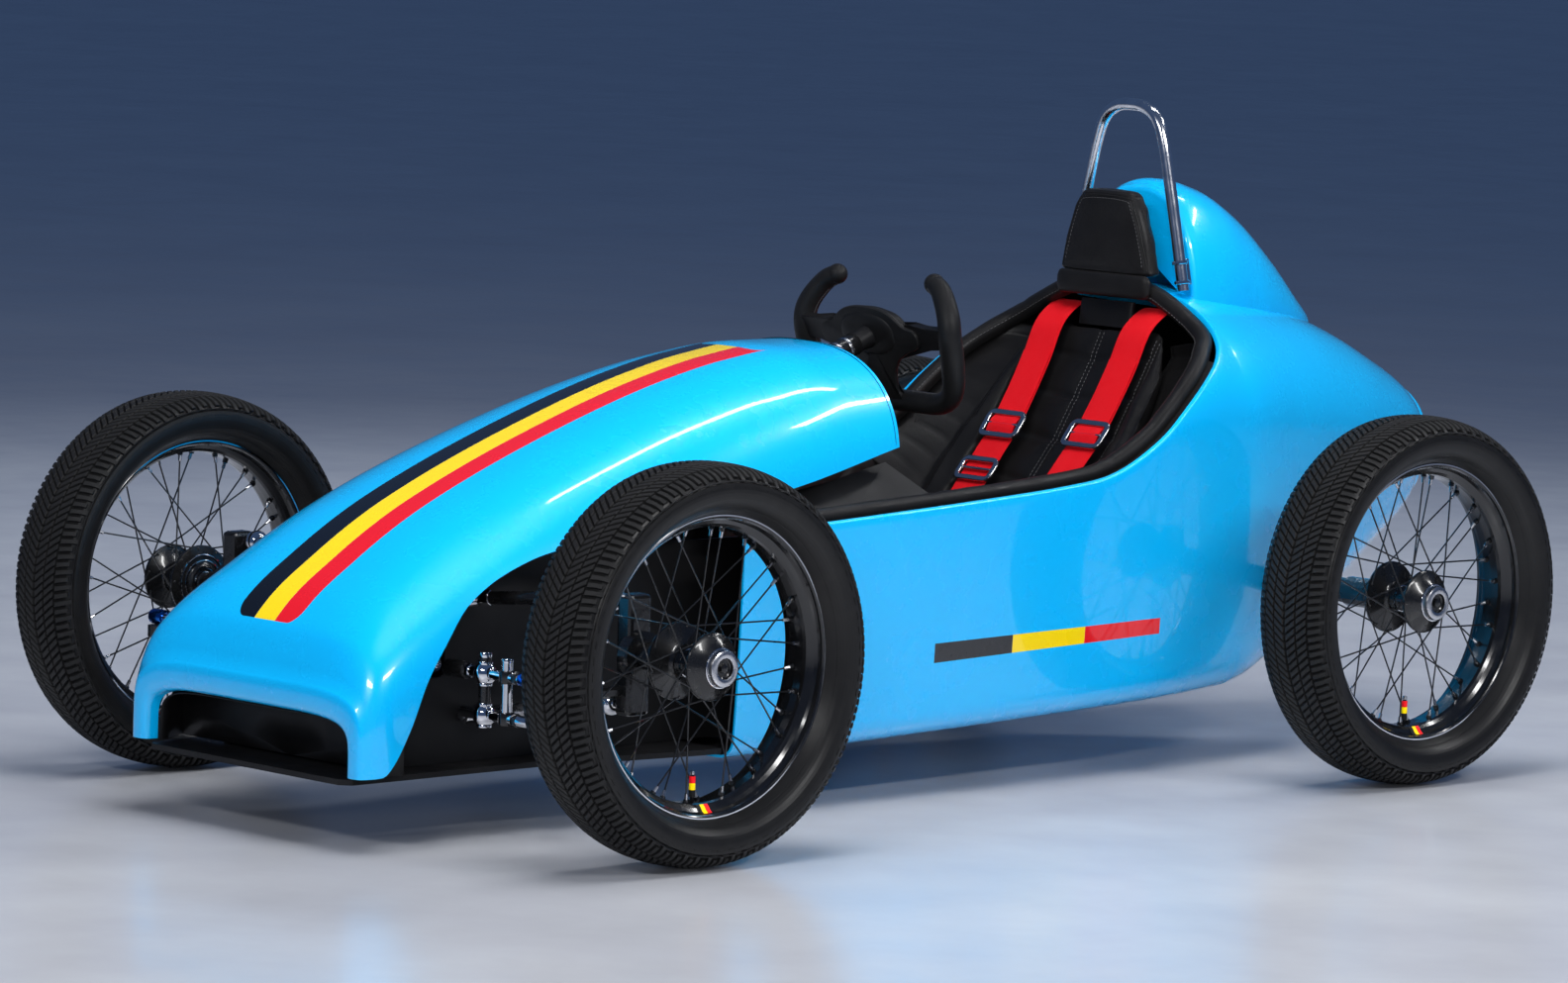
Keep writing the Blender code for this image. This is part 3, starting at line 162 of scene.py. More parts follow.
def tube(bag, pts, r, sides=12, mat=0, caps=True, closed=False, radii=None, flat=None):
    """Round bar along points; flat=(normal vector, ratio) is not used."""
    pts = [Vector(p) for p in pts]
    n = len(pts)
    rows = []
    t0 = (pts[1] - pts[0]).normalized()
    ref = Vector((0, 0, 1)) if abs(t0.z) < 0.9 else Vector((1, 0, 0))
    u = (ref - t0 * ref.dot(t0)).normalized()
    for i in range(n):
        if closed:
            t = (pts[(i + 1) % n] - pts[i - 1]).normalized()
        else:
            t = (pts[min(n - 1, i + 1)] - pts[max(0, i - 1)]).normalized()
        u = (u - t * u.dot(t)).normalized()
        w = t.cross(u)
        rr = radii[i] if radii else r
        rows.append([pts[i] + u * rr * cos(2 * pi * k / sides) + w * rr * sin(2 * pi * k / sides) for k in range(sides)])
    k0 = len(bag.v)
    grid(bag, rows, mat, close_c=True, close_r=closed)
    if caps and not closed:
        bag.f.append(tuple(k0 + k for k in range(sides)))
        bag.f.append(tuple(k0 + (n - 1) * sides + k for k in reversed(range(sides))))
        bag.m += [mat, mat]
    return bag


def rod(bag, a, b, r, sides=12, mat=0, r2=None, bevel=0.0):
    """Straight bar with a small rounded edge at each end."""
    a, b = Vector(a), Vector(b)
    r2 = r if r2 is None else r2
    d = (b - a).normalized()
    if bevel:
        pts = [a, a + d * bevel * 0.3, a + d * bevel, b - d * bevel, b - d * bevel * 0.3, b]
        radii = [r - bevel, r - bevel * 0.3, r, r2, r2 - bevel * 0.3, r2 - bevel]
    else:
        pts, radii = [a, b], [r, r2]
    return tube(bag, pts, r, sides, mat, radii=radii)


def ball(bag, c, r, u=20, v=12, mat=0, scale=(1, 1, 1)):
    c = Vector(c)
    verts, faces = [], []
    for i in range(1, v):
        a = pi * i / v
        for k in range(u):
            b = 2 * pi * k / u
            verts.append(c + Vector((r * sin(a) * cos(b) * scale[0], r * sin(a) * sin(b) * scale[1], r * cos(a) * scale[2])))
    faces = rows_faces(v - 1, u, close_c=True)
    top, bot = len(verts), len(verts) + 1
    verts += [c + Vector((0, 0, r * scale[2])), c - Vector((0, 0, r * scale[2]))]
    for k in range(u):
        faces.append((top, k, (k + 1) % u))
        faces.append((bot, (v - 2) * u + (k + 1) % u, (v - 2) * u + k))
    return bag.add(verts, faces, mat)


def turned(bag, profile, centre, steps=64, mat=0, sx=1, mats=None):
    """Surface of revolution about the X axis through centre; profile (r, x)."""
    centre = Vector(centre)
    rows = []
    for r, x in profile:
        rows.append([centre + Vector((sx * x, r * cos(2 * pi * i / steps), r * sin(2 * pi * i / steps))) for i in range(steps)])
    if mats is None:
        return grid(bag, rows, mat, close_c=True)
    for k, mm in zip(range(len(rows) - 1), mats):
        grid(bag, rows[k:k + 2], mm, close_c=True)
    return bag


def slab(bag, centre, size, axes, bevel=0.002, mat=0, segs=2):
    """Box with rounded edges. axes: three unit vectors."""
    bm = bmesh.new()
    bmesh.ops.create_cube(bm, size=1.0)
    bmesh.ops.scale(bm, vec=Vector(size), verts=bm.verts)
    bmesh.ops.bevel(bm, geom=list(bm.edges), offset=bevel, segments=segs, affect='EDGES', profile=0.5)
    m = Matrix((axes[0], axes[1], axes[2])).transposed().to_4x4()
    bm.transform(Matrix.Translation(Vector(centre)) @ m)
    bm.verts.index_update()
    bag.add([v.co.copy() for v in bm.verts], [tuple(v.index for v in f.verts) for f in bm.faces], mat)
    bm.free()
    return bag


def apply_mods(ob):
    bpy.context.view_layer.update()
    dg = bpy.context.evaluated_depsgraph_get()
    me = bpy.data.meshes.new_from_object(ob.evaluated_get(dg))
    ob.modifiers.clear()
    ob.data = me
    return ob


XA, YA, ZA = Vector((1, 0, 0)), Vector((0, 1, 0)), Vector((0, 0, 1))


# ---------------------------------------------------------------- material helpers
class Mat:
    """Small wrapper for building node materials."""

    def __init__(self, name, color, rough, metal=0.0, **sockets):
        self.m = bpy.data.materials.new(name)
        self.m.use_nodes = True
        self.nt = self.m.node_tree
        self.b = self.nt.nodes["Principled BSDF"]
        self.b.inputs["Base Color"].default_value = (*color, 1.0)
        self.b.inputs["Roughness"].default_value = rough
        self.b.inputs["Metallic"].default_value = metal
        for k, v in sockets.items():
            self.b.inputs[k.replace("_", " ")].default_value = v
        self.m.diffuse_color = (*color, 1.0)
        self._co = None

    def node(self, kind, **kw):
        n = self.nt.nodes.new(kind)
        for k, v in kw.items():
            setattr(n, k, v)
        return n

    def link(self, a, b):
        self.nt.links.new(a, b)

    @property
    def co(self):
        if self._co is None:
            self._co = self.node("ShaderNodeTexCoord")
        return self._co.outputs["Object"]

    @property
    def normal(self):
        self.co
        return self._co.outputs["Normal"]

    def xyz(self, src=None):
        s = self.node("ShaderNodeSeparateXYZ")
        self.link(src if src is not None else self.co, s.inputs[0])
        return s.outputs

    def math(self, op, a, b=None, c=None, clamp=False):
        n = self.node("ShaderNodeMath", operation=op, use_clamp=clamp)
        for i, v in enumerate((a, b, c)):
            if v is None:
                continue
            if isinstance(v, (int, float)):
                n.inputs[i].default_value = v
            else:
                self.link(v, n.inputs[i])
        return n.outputs[0]

    def mul(self, *vals):
        out = vals[0]
        for v in vals[1:]:
            out = self.math('MULTIPLY', out, v)
        return out

    def between(self, v, lo, hi, soft=0.0004):
        """1 inside lo..hi, with a very fine soft edge."""
        a = self.math('MULTIPLY_ADD', self.math('SUBTRACT', v, lo), 1 / soft, 0.5, clamp=True)
        b = self.math('MULTIPLY_ADD', self.math('SUBTRACT', hi, v), 1 / soft, 0.5, clamp=True)
        return self.math('MULTIPLY', a, b)

    def noise(self, scale, detail=3.0, rough=0.55, vec=None, dims='3D'):
        n = self.node("ShaderNodeTexNoise")
        n.inputs["Scale"].default_value = scale
        n.inputs["Detail"].default_value = detail
        n.inputs["Roughness"].default_value = rough
        self.link(vec if vec is not None else self.co, n.inputs["Vector"])
        return n.outputs["Fac"]

    def voronoi(self, scale, feature='F1', vec=None):
        n = self.node("ShaderNodeTexVoronoi", feature=feature)
        n.inputs["Scale"].default_value = scale
        self.link(vec if vec is not None else self.co, n.inputs["Vector"])
        return n.outputs["Distance"]

    def scaled(self, s):
        n = self.node("ShaderNodeMapping")
        n.inputs["Scale"].default_value = s
        self.link(self.co, n.inputs["Vector"])
        return n.outputs[0]

    def rgb_mix(self, fac, a, b):
        n = self.node("ShaderNodeMix", data_type='RGBA')
        for sock, v in ((0, fac), (6, a), (7, b)):
            if isinstance(v, tuple):
                n.inputs[sock].default_value = (*v, 1.0)
            elif isinstance(v, (int, float)):
                n.inputs[sock].default_value = v
            else:
                self.link(v, n.inputs[sock])
        return n.outputs[2]

    def remap(self, v, a, b, c, d):
        n = self.node("ShaderNodeMapRange")
        self.link(v, n.inputs[0])
        for i, x in enumerate((a, b, c, d)):
            n.inputs[i + 1].default_value = x
        return n.outputs[0]

    def color(self, out):
        self.link(out, self.b.inputs["Base Color"])
        return self

    def rough(self, out):
        self.link(out, self.b.inputs["Roughness"])
        return self

    def bump(self, height, dist=0.0002, strength=1.0, chain=None):
        n = self.node("ShaderNodeBump")
        n.inputs["Strength"].default_value = strength
        n.inputs["Distance"].default_value = dist
        self.link(height, n.inputs["Height"])
        if chain is not None:
            self.link(chain, n.inputs["Normal"])
        self.link(n.outputs[0], self.b.inputs["Normal"])
        return n.outputs[0]


SKY = (0.0, 0.485, 0.985)
SKY_DEEP = (0.0, 0.30, 0.84)
INK = (0.002, 0.002, 0.0025)
GOLD = (1.0, 0.72, 0.0)
SCARLET = (0.80, 0.006, 0.012)
STRIPE_HALF = 0.0665
STRIPE_MID = 0.0222


def paint(name, stripes=False, side_bar=False):
    m = Mat(name, SKY, 0.28, Coat_Weight=1.0, Coat_Roughness=0.035, Coat_IOR=1.55, Specular_IOR_Level=0.5)
    x, y, z = m.xyz()
    big = m.noise(3.0, 2.0)
    col = m.rgb_mix(m.remap(big, 0.35, 0.65, 0.0, 1.0), SKY, tuple(a * 0.97 for a in SKY))
    if stripes:
        nx, ny, nz = m.xyz(m.normal)
        up = m.math('GREATER_THAN', nz, 0.05)
        ax = m.math('ABSOLUTE', x)
        r = 0.020
        d = m.math('MAXIMUM', m.math('SUBTRACT', ax, STRIPE_HALF - r), 0.0)
        rr = m.math('SQRT', m.math('MAXIMUM', m.math('SUBTRACT', r * r, m.math('MULTIPLY', d, d)), 0.0))
        y2 = m.math('SUBTRACT', y, m.math('SUBTRACT', r, rr))
        along = m.between(y2, Y(-0.304), Y(0.567))
        for lo, hi, c in ((-STRIPE_HALF, -STRIPE_MID, INK), (-STRIPE_MID, STRIPE_MID, GOLD), (STRIPE_MID, STRIPE_HALF, SCARLET)):
            col = m.rgb_mix(m.mul(m.between(x, lo, hi), along, up), col, c)
    if side_bar:
        nx, ny, nz = m.xyz(m.normal)
        out = m.math('GREATER_THAN', m.math('ABSOLUTE', nx), 0.6)
        zlo = m.math('MULTIPLY_ADD', m.math('SUBTRACT', y, Y(0.727)), 0.027, 0.202)
        zhi = m.math('MULTIPLY_ADD', m.math('SUBTRACT', y, Y(0.727)), 0.0166, 0.231)
        inz = m.mul(m.math('MULTIPLY_ADD', m.math('SUBTRACT', z, zlo), 2500, 0.5, clamp=True),
                    m.math('MULTIPLY_ADD', m.math('SUBTRACT', zhi, z), 2500, 0.5, clamp=True), out)
        for lo, hi, c in ((0.727, 0.890, INK), (0.890, 1.044, GOLD), (1.044, 1.208, SCARLET)):
            col = m.rgb_mix(m.mul(m.between(y, Y(lo), Y(hi)), inz), col, c)
    m.color(col)
    peel = m.noise(120.0, 1.0)
    m.rough(m.remap(m.noise(18.0, 4.0), 0.3, 0.7, 0.25, 0.29))
    m.bump(peel, 0.00002, 0.06)
    return m.m


def black_satin(name, base=(0.0055, 0.0055, 0.006), rough=0.36, grain=420.0):
    m = Mat(name, base, rough, Specular_IOR_Level=0.24)
    n = m.noise(grain, 3.0)
    m.color(m.rgb_mix(m.remap(m.noise(9.0, 4.0), 0.35, 0.7, 0.0, 1.0), base, tuple(c * 1.7 for c in base)))
    m.rough(m.remap(m.noise(24.0, 4.0), 0.3, 0.7, rough - 0.06, rough + 0.08))
    m.bump(n, 0.00012, 0.5)
    return m.m


def leather(name, base=(0.0062, 0.0060, 0.0062), rough=0.40):
    m = Mat(name, base, rough, Specular_IOR_Level=0.25, Sheen_Weight=0.01, Sheen_Roughness=0.4)
    v = m.voronoi(620.0, 'F1')
    n = m.noise(260.0, 5.0)
    wrinkle = m.noise(38.0, 3.0, 0.6)
    h = m.math('ADD', m.math('MULTIPLY', v, 0.6), m.math('MULTIPLY', n, 0.5))
    h = m.math('ADD', h, m.math('MULTIPLY', wrinkle, 1.6))
    m.bump(h, 0.00035, 0.55)
    m.rough(m.remap(m.noise(30.0, 5.0), 0.3, 0.72, rough - 0.07, rough + 0.12))
    m.color(m.rgb_mix(m.remap(m.noise(14.0, 4.0), 0.35, 0.7, 0.0, 1.0), base, tuple(c * 1.55 for c in base)))
    return m.m


def metal(name, base, rough, scale=(1, 1, 1), streak=0.0, wear=0.0):
    m = Mat(name, base, rough, 1.0)
    fine = m.noise(900.0, 2.0, vec=m.scaled(scale))
    m.rough(m.remap(m.noise(45.0, 5.0), 0.25, 0.75, max(0.02, rough - 0.035), rough + 0.05 + streak))
    m.color(m.rgb_mix(m.remap(m.noise(60.0, 4.0), 0.3, 0.75, 0.0, 1.0), base, tuple(c * 0.86 for c in base)))
    m.bump(fine, 0.00003, 0.3 + streak)
    return m.m


def black_metal(name, base=(0.006, 0.006, 0.0065), rough=0.24):
    m = Mat(name, base, rough, 0.2, Coat_Weight=0.5, Coat_Roughness=0.08)
    m.color(m.rgb_mix(m.remap(m.noise(70.0, 5.0), 0.45, 0.8, 0.0, 1.0), base, tuple(c * 1.5 for c in base)))
    m.rough(m.remap(m.noise(50.0, 5.0), 0.3, 0.7, rough - 0.05, rough + 0.10))
    m.bump(m.noise(700.0, 2.0), 0.00002, 0.08)
    return m.m


def webbing(name):
    base = (0.76, 0.003, 0.010)
    m = Mat(name, base, 0.62, Specular_IOR_Level=0.2, Sheen_Weight=0.03, Sheen_Roughness=0.35)
    w = m.node("ShaderNodeTexWave", wave_type='BANDS', bands_direction='X')
    w.inputs["Scale"].default_value = 210.0
    m.link(m.co, w.inputs["Vector"])
    w2 = m.node("ShaderNodeTexWave", wave_type='BANDS', bands_direction='Z')
    w2.inputs["Scale"].default_value = 240.0
    w2.inputs["Distortion"].default_value = 0.6
    m.link(m.co, w2.inputs["Vector"])
    h = m.math('MULTIPLY', w.outputs["Fac"], m.math('ADD', w2.outputs["Fac"], 0.35))
    m.bump(h, 0.0006, 0.7)
    # the weave itself is real texture; its colour darkened in the low threads is painted shade in the weave's hollows
    m.color(m.rgb_mix(m.remap(h, 0.0, 1.1, 0.0, 1.0), tuple(c * 0.72 for c in base), base))
    m.rough(m.remap(m.noise(60.0, 4.0), 0.3, 0.7, 0.55, 0.72))
    return m.m


def rubber_tyre(name):
    base = (0.0062, 0.0060, 0.0060)
    m = Mat(name, base, 0.62, Specular_IOR_Level=0.34)
    x, y, z = m.xyz()
    r = m.math('SQRT', m.math('ADD', m.math('MULTIPLY', y, y), m.math('MULTIPLY', z, z)))
    tread = m.remap(r, 0.2600, 0.2660, 0.0, 1.0)
    top = m.math('MULTIPLY', m.remap(r, 0.2745, 0.2790, 0.0, 1.0), 1.0)
    c = m.rgb_mix(tread, base, (0.0085, 0.0084, 0.0085))
    c = m.rgb_mix(m.mul(top, 0.5), c, (0.016, 0.0155, 0.0155))
    c = m.rgb_mix(m.mul(m.remap(m.noise(40.0, 5.0), 0.5, 0.8, 0.0, 1.0), 0.5), c, (0.013, 0.0125, 0.012))
    m.color(c)
    ro = m.math('ADD', m.remap(tread, 0.0, 1.0, 0.40, 0.66), m.math('MULTIPLY', m.math('SUBTRACT', m.noise(60.0, 4.0), 0.5), 0.16))
    m.rough(ro)
    m.bump(m.noise(800.0, 3.0), 0.0002, 0.5)
    return m.m


M_HOOD = paint("paint_sky_blue_bonnet", stripes=True)
M_BODY = paint("paint_sky_blue_body", side_bar=True)
M_BLUE = paint("paint_sky_blue")
M_LINER = black_satin("satin_black_liner")
M_PANEL = black_satin("satin_black_panel", rough=0.42)
M_LEATHER = leather("black_leather")
M_LEATHER2 = leather("black_leather_soft", base=(0.0045, 0.0043, 0.0045), rough=0.38)
M_GRIP = leather("grip_black", base=(0.0065, 0.0065, 0.0068), rough=0.46)
M_CHROME = metal("polished_chrome", (0.83, 0.83, 0.85), 0.055)
M_STEEL = metal("satin_steel", (0.60, 0.60, 0.62), 0.22, (1, 8, 1), 0.08)
M_ALLOY = metal("satin_alloy", (0.50, 0.51, 0.53), 0.32, (6, 1, 1), 0.10)
M_BLACKM = black_metal("black_anodised")
M_RIM = black_metal("gloss_black_rim", rough=0.16)
M_SPOKE = black_metal("black_spoke", base=(0.012, 0.012, 0.013), rough=0.30)
M_BLUEAN = metal("blue_anodised", (0.02, 0.16, 0.62), 0.22)
M_WEB = webbing("red_webbing")
M_TYRE = rubber_tyre("tyre_rubber")
# tread groove floors: matte rubber painted darker than the blocks, painted shade in the grooves
M_GROOVE_SHADE = black_satin("tyre_groove_painted_shade", base=(0.0035, 0.0034, 0.0034), rough=0.85)
M_THREAD = black_satin("black_thread", base=(0.060, 0.060, 0.063), rough=0.6)
M_RTHREAD = black_satin("red_thread", base=(0.45, 0.006, 0.010), rough=0.6)
M_YEL = black_satin("sticker_yellow", base=(0.98, 0.70, 0.0), rough=0.35)
M_RED = black_satin("sticker_red", base=(0.80, 0.010, 0.015), rough=0.35)
M_BLK = black_satin("sticker_black", base=(0.008, 0.008, 0.008), rough=0.35)
M_PLATE = black_satin("wheel_plate_black", rough=0.44)
M_BUCKLE = metal("brushed_buckle", (0.70, 0.69, 0.69), 0.17, (1, 6, 1), 0.06)
M_SPLIT = black_satin("splitter_grey_edge", base=(0.05, 0.05, 0.052), rough=0.40)

# every kept CAD node gets its own finish
FINISH = {"floor_pan": M_PANEL, "foot_box": M_PANEL, "side_deck_left": M_PANEL, "side_deck_right": M_PANEL,
          "dash_hoop": M_BLACKM, "rack_housing": M_ALLOY, "crank_housing": M_BLACKM, "upper_arm_left": M_BLACKM,
          "upper_arm_right": M_BLACKM, "lower_arm_left": M_STEEL, "lower_arm_right": M_STEEL, "knuckle_left": M_BLACKM,
          "knuckle_right": M_BLACKM, "rear_axle_beam": M_BLACKM, "steering_column": M_BLACKM, "crankset": M_BLACKM,
          "rack_bar": M_CHROME, "drive_unit": M_ALLOY, "roll_hoop": M_CHROME}
for nm, ob in NODES.items():
    mt = FINISH.get(nm, M_PANEL)
    ob.data.materials.clear()
    ob.data.materials.append(mt)

# ---------------------------------------------------------------- bonnet
HOOD_TOP = [(-0.338, 0.205), (-0.325, 0.252), (-0.304, 0.300), (-0.200, 0.382), (-0.069, 0.456),
            (0.190, 0.558), (0.380, 0.616), (0.500, 0.642), (0.620, 0.656), (0.720, 0.656)]
HOOD_W = [(-0.338, 0.248), (-0.315, 0.262), (-0.290, 0.268), (-0.200, 0.271), (0.000, 0.271), (0.250, 0.264),
          (0.500, 0.243), (0.720, 0.216)]
HOOD_LOW = [(-0.338, 0.106), (-0.306, 0.109), (-0.290, 0.124), (-0.263, 0.169), (-0.230, 0.236), (-0.195, 0.281),
            (-0.143, 0.336), (-0.071, 0.377), (0.002, 0.401), (0.200, 0.432), (0.470, 0.466), (0.720, 0.514)]
HOOD_EXP = [(-0.338, 6.0), (-0.300, 4.4), (-0.100, 3.3), (0.200, 2.9), (0.500, 2.6), (0.720, 2.5)]
HOOD_BASE = [(-0.34, 0.106), (-0.29, 0.106), (0.0, 0.26), (0.3, 0.36), (0.72, 0.475)]


def hood_section(fy, count=97):
    w, zt, n = spline(HOOD_W, fy), spline(HOOD_TOP, fy), spline(HOOD_EXP, fy)
    low, base = spline(HOOD_LOW, fy), spline(HOOD_BASE, fy)
    f = max(0.0, min(0.98, (low - base) / (zt - base)))
    a0 = asin(f ** (n / 2)) if f > 0 else 0.0
    # points spread evenly along the curve
    dense = []
    for i in range(401):
        a = a0 + (pi - 2 * a0) * i / 400
        c, s = cos(a), sin(a)
        dense.append((w * (1 if c >= 0 else -1) * abs(c) ** (2 / n), base + (zt - base) * abs(s) ** (2 / n)))
    dense[0] = (dense[0][0], low if f > 0 else base)
    dense[-1] = (dense[-1][0], low if f > 0 else base)
    p = np.array(dense)
    s = np.concatenate([[0], np.cumsum(np.hypot(*np.diff(p, axis=0).T))])
    q = np.linspace(0, s[-1], count)
    xs, zs = np.interp(q, s, p[:, 0]), np.interp(q, s, p[:, 1])
    return [(x, Y(fy), z) for x, z in zip(xs, zs)]


hood_stations = list(np.linspace(-0.332, -0.200, 26)) + list(np.linspace(-0.190, 0.720, 84))
hood_rows = [hood_section(s) for s in hood_stations]
first = hood_rows[0]


def lip(f_side, f_top, y):
    return [(x * f_side, y, 0.106 + (z - 0.106) * f_top) for x, y0, z in first]


LIP_KEYS = [(0.862, 0.635, 0.022), (0.866, 0.640, 0.012), (0.880, 0.672, 0.0045), (0.905, 0.735, 0.0008), (0.940, 0.840, 0.0),
            (0.972, 0.925, 0.0008), (0.990, 0.975, 0.0028)]
lip_rows = []
keys = [Vector(k) for k in LIP_KEYS] + [Vector((1.0, 1.0, 0.006))]
for k in curve_points(keys, 22)[:-1]:
    lip_rows.append(lip(k.x, k.y, NOSE_Y + max(0.0, k.z)))
hood_rows = lip_rows + hood_rows
# the rear edge of the cowl rolls inwards
last = hood_rows[-1]
for i in range(1, 6):
    a = pi / 2 * i / 5
    q = []
    for x, y, z in last:
        v = Vector((x, 0, z - 0.45))
        v *= 1 - 0.0075 * (1 - cos(a)) / v.length
        q.append((v.x, y + 0.0 * a, v.z + 0.45))
    hood_rows.append([(p[0], p[1] + 0.004 * sin(a) - 0.004, p[2]) for p in q])
bag = Bag()
grid(bag, hood_rows)
hood = bag.make("bonnet_skin", [M_HOOD, M_LINER], angle=60, outward=False)
if sum(p.normal.z * p.area for p in hood.data.polygons) < 0:
    hood.data.flip_normals()
md = hood.modifiers.new("thickness", 'SOLIDIFY')
md.thickness = 0.0055
md.offset = -1.0
md.material_offset = 1
md.material_offset_rim = 0
apply_mods(hood)
hood.data.shade_smooth()
hood.data.set_sharp_from_angle(angle=radians(50))
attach(hood, "chassis")
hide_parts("hood")

# black box behind the mouth, closed by a dark panel ahead of the axle: a dark sheet standing in for the shade inside
# the mouth
def shade_box_row(src, fs, ft, y):
    return [(x * fs, y, max(0.1050, 0.1050 + (z - 0.106) * ft)) for x, y0, z in src]


mid = hood_section(-0.262)
shade_box_rows = [shade_box_row(first, 0.848, 0.615, NOSE_Y + 0.0230), shade_box_row(first, 0.852, 0.640, NOSE_Y + 0.035)]
for i in range(1, 9):
    t = i / 8
    row = []
    for (x1, y1, z1), (x2, y2, z2) in zip(first, mid):
        fs, ft = 0.852 + 0.05 * t, 0.64 + 0.10 * t
        xx = x1 * (1 - t) + x2 * t
        zz = z1 * (1 - t) + z2 * t
        row.append((xx * fs, NOSE_Y + 0.035 + 0.052 * t, max(0.1050, 0.1050 + (zz - 0.106) * ft)))
    shade_box_rows.append(row)
back_y = shade_box_rows[-1][0][1]
for f in (0.97, 0.7, 0.35, 0.02):
    shade_box_rows.append([(x * f, back_y + 0.0005, 0.1050 + (z - 0.1050) * (f if f > 0.1 else 0.0)) for x, y0, z in shade_box_rows[9]])
shade_box_rows = [[(r[0][0], r[0][1], 0.1050)] + r + [(r[-1][0], r[-1][1], 0.1050)] for r in shade_box_rows]
bag = Bag()
grid(bag, shade_box_rows)
mouth_shade_box = bag.make("nose_mouth_shade_box", [M_PANEL], angle=50, outward=False)
md = mouth_shade_box.modifiers.new("thickness", 'SOLIDIFY')
md.thickness = 0.002
md.offset = 0.0
apply_mods(mouth_shade_box)
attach(mouth_shade_box, "chassis")

# ---------------------------------------------------------------- main body shell
BODY_TOP = [(0.34, 0.60), (1.00, 0.62), (1.20, 0.67), (1.40, 0.722), (1.50, 0.718), (1.65, 0.695), (1.80, 0.650),
            (1.93, 0.595), (2.00, 0.560), (2.042, 0.530)]
BODY_W = [(0.34, 0.292), (0.60, 0.300), (1.20, 0.300), (1.40, 0.292), (1.55, 0.262), (1.75, 0.205), (1.93, 0.140),
          (2.00, 0.110), (2.042, 0.084)]
BODY_MID = [(0.34, 0.44), (1.05, 0.46), (1.20, 0.50), (1.40, 0.52), (1.65, 0.50), (1.90, 0.475), (2.042, 0.455)]
BODY_LOW = [(0.34, 0.086), (0.60, 0.090), (1.00, 0.100), (1.38, 0.116), (1.50, 0.135), (1.65, 0.190), (1.85, 0.280),
            (2.00, 0.345), (2.042, 0.375)]
BODY_EXP = [(0.34, 2.6), (1.30, 2.6), (1.40, 2.15), (1.60, 2.0), (2.12, 2.0)]
CORNER = [(0.34, 0.030), (1.38, 0.045), (1.60, 0.085), (2.042, 0.045)]
SILL = [(0.25, 0.402), (0.49, 0.418), (0.80, 0.434), (1.00, 0.447), (1.10, 0.462), (1.19, 0.504), (1.258, 0.556),
        (1.312, 0.598), (1.355, 0.630), (1.380, 0.655), (1.396, 0.688), (1.400, 0.712)]


def body_half(fy, z):
    w, zt, zm, n = (spline(t, fy) for t in (BODY_W, BODY_TOP, BODY_MID, BODY_EXP))
    if z <= zm:
        return w
    f = min(1.0, (z - zm) / (zt - zm))
    return w * (1 - f ** n) ** (1 / n)


def body_curve(fy):
    """Dense half section, bottom centre to top centre, (x, z)."""
    w, zt, zm, zl, n, rc = (spline(t, fy) for t in (BODY_W, BODY_TOP, BODY_MID, BODY_LOW, BODY_EXP, CORNER))
    wb = w - 0.012
    pts = [((wb - rc) * i / 40, zl) for i in range(40)]
    for i in range(31):
        a = -pi / 2 + (pi / 2) * i / 30
        pts.append((wb - rc + rc * cos(a), zl + rc + rc * sin(a)))
    z0 = zl + rc
    # a gently bowed side from the corner to the widest line
    for i in range(1, 41):
        t = i / 41
        pts.append((wb + (w - wb) * (1 - (1 - t) ** 2.0), z0 + (zm - z0) * t))
    for i in range(121):
        a = (pi / 2) * i / 120
        pts.append((w * max(0.0, cos(a)) ** (2 / n) if i < 120 else 0.0, zm + (zt - zm) * sin(a) ** (2 / n)))
    return np.array(pts)


def along(p, count, stop=None):
    """Even points along a half section, ending at height stop if given."""
    if stop is not None:
        k = len(p) - 1
        for i in range(len(p) - 1):
            if p[i + 1][1] >= stop and p[i][1] < stop and p[i][0] > 0.02 and i > 60:
                k = i
                break
        t = (stop - p[k][1]) / max(1e-9, (p[k + 1][1] - p[k][1])) if k + 1 < len(p) else 0
        p = np.vstack([p[:k + 1], p[k] + (p[k + 1] - p[k]) * t])
    s = np.concatenate([[0], np.cumsum(np.hypot(*np.diff(p, axis=0).T))])
    q = np.linspace(0, s[-1], count)
    return np.stack([np.interp(q, s, p[:, 0]), np.interp(q, s, p[:, 1])], 1)


sill_pts = curve_points([Vector((0, a, b)) for a, b in SILL], 165)
sill_y = np.array([p.y for p in sill_pts])
sill_z = np.array([p.z for p in sill_pts])
keep = sill_y >= 0.34
open_y = [0.34] + [float(v) for v in sill_y[keep]]
open_z = [float(np.interp(0.34, sill_y, sill_z))] + [float(v) for v in sill_z[keep]]
open_y[-1] = 1.400
NS = 54
open_rows, lip_rows_b = [], []
for fy, zs in zip(open_y, open_z):
    zs = min(zs, spline(BODY_TOP, fy) - 0.0035)
    c = along(body_curve(fy), NS, zs)
    t = Vector((c[-1][0] - c[-2][0], c[-1][1] - c[-2][1])).normalized()
    n_in = Vector((-t.y, t.x))
    if n_in.x > 0:
        n_in = -n_in
    open_rows.append((fy, c, t, n_in))
bag = Bag()
R_LIP = 0.0070
half_rows = []
for fy, c, t, n_in in open_rows:
    r = [(x, Y(fy), z) for x, z in c]
    p = Vector(c[-1])
    for i in range(1, 9):
        a = radians(100) * i / 8
        q = p + t * (R_LIP * sin(a)) * 0.55 + n_in * R_LIP * (1 - cos(a))
        r.append((max(0.0, q.x), Y(fy), q.y))
    half_rows.append(r)
NL = len(half_rows[0])
ring = [list(r) + [] for r in half_rows]
grid(bag, ring)
grid(bag, [[(-x, y, z) for x, y, z in r] for r in ring])
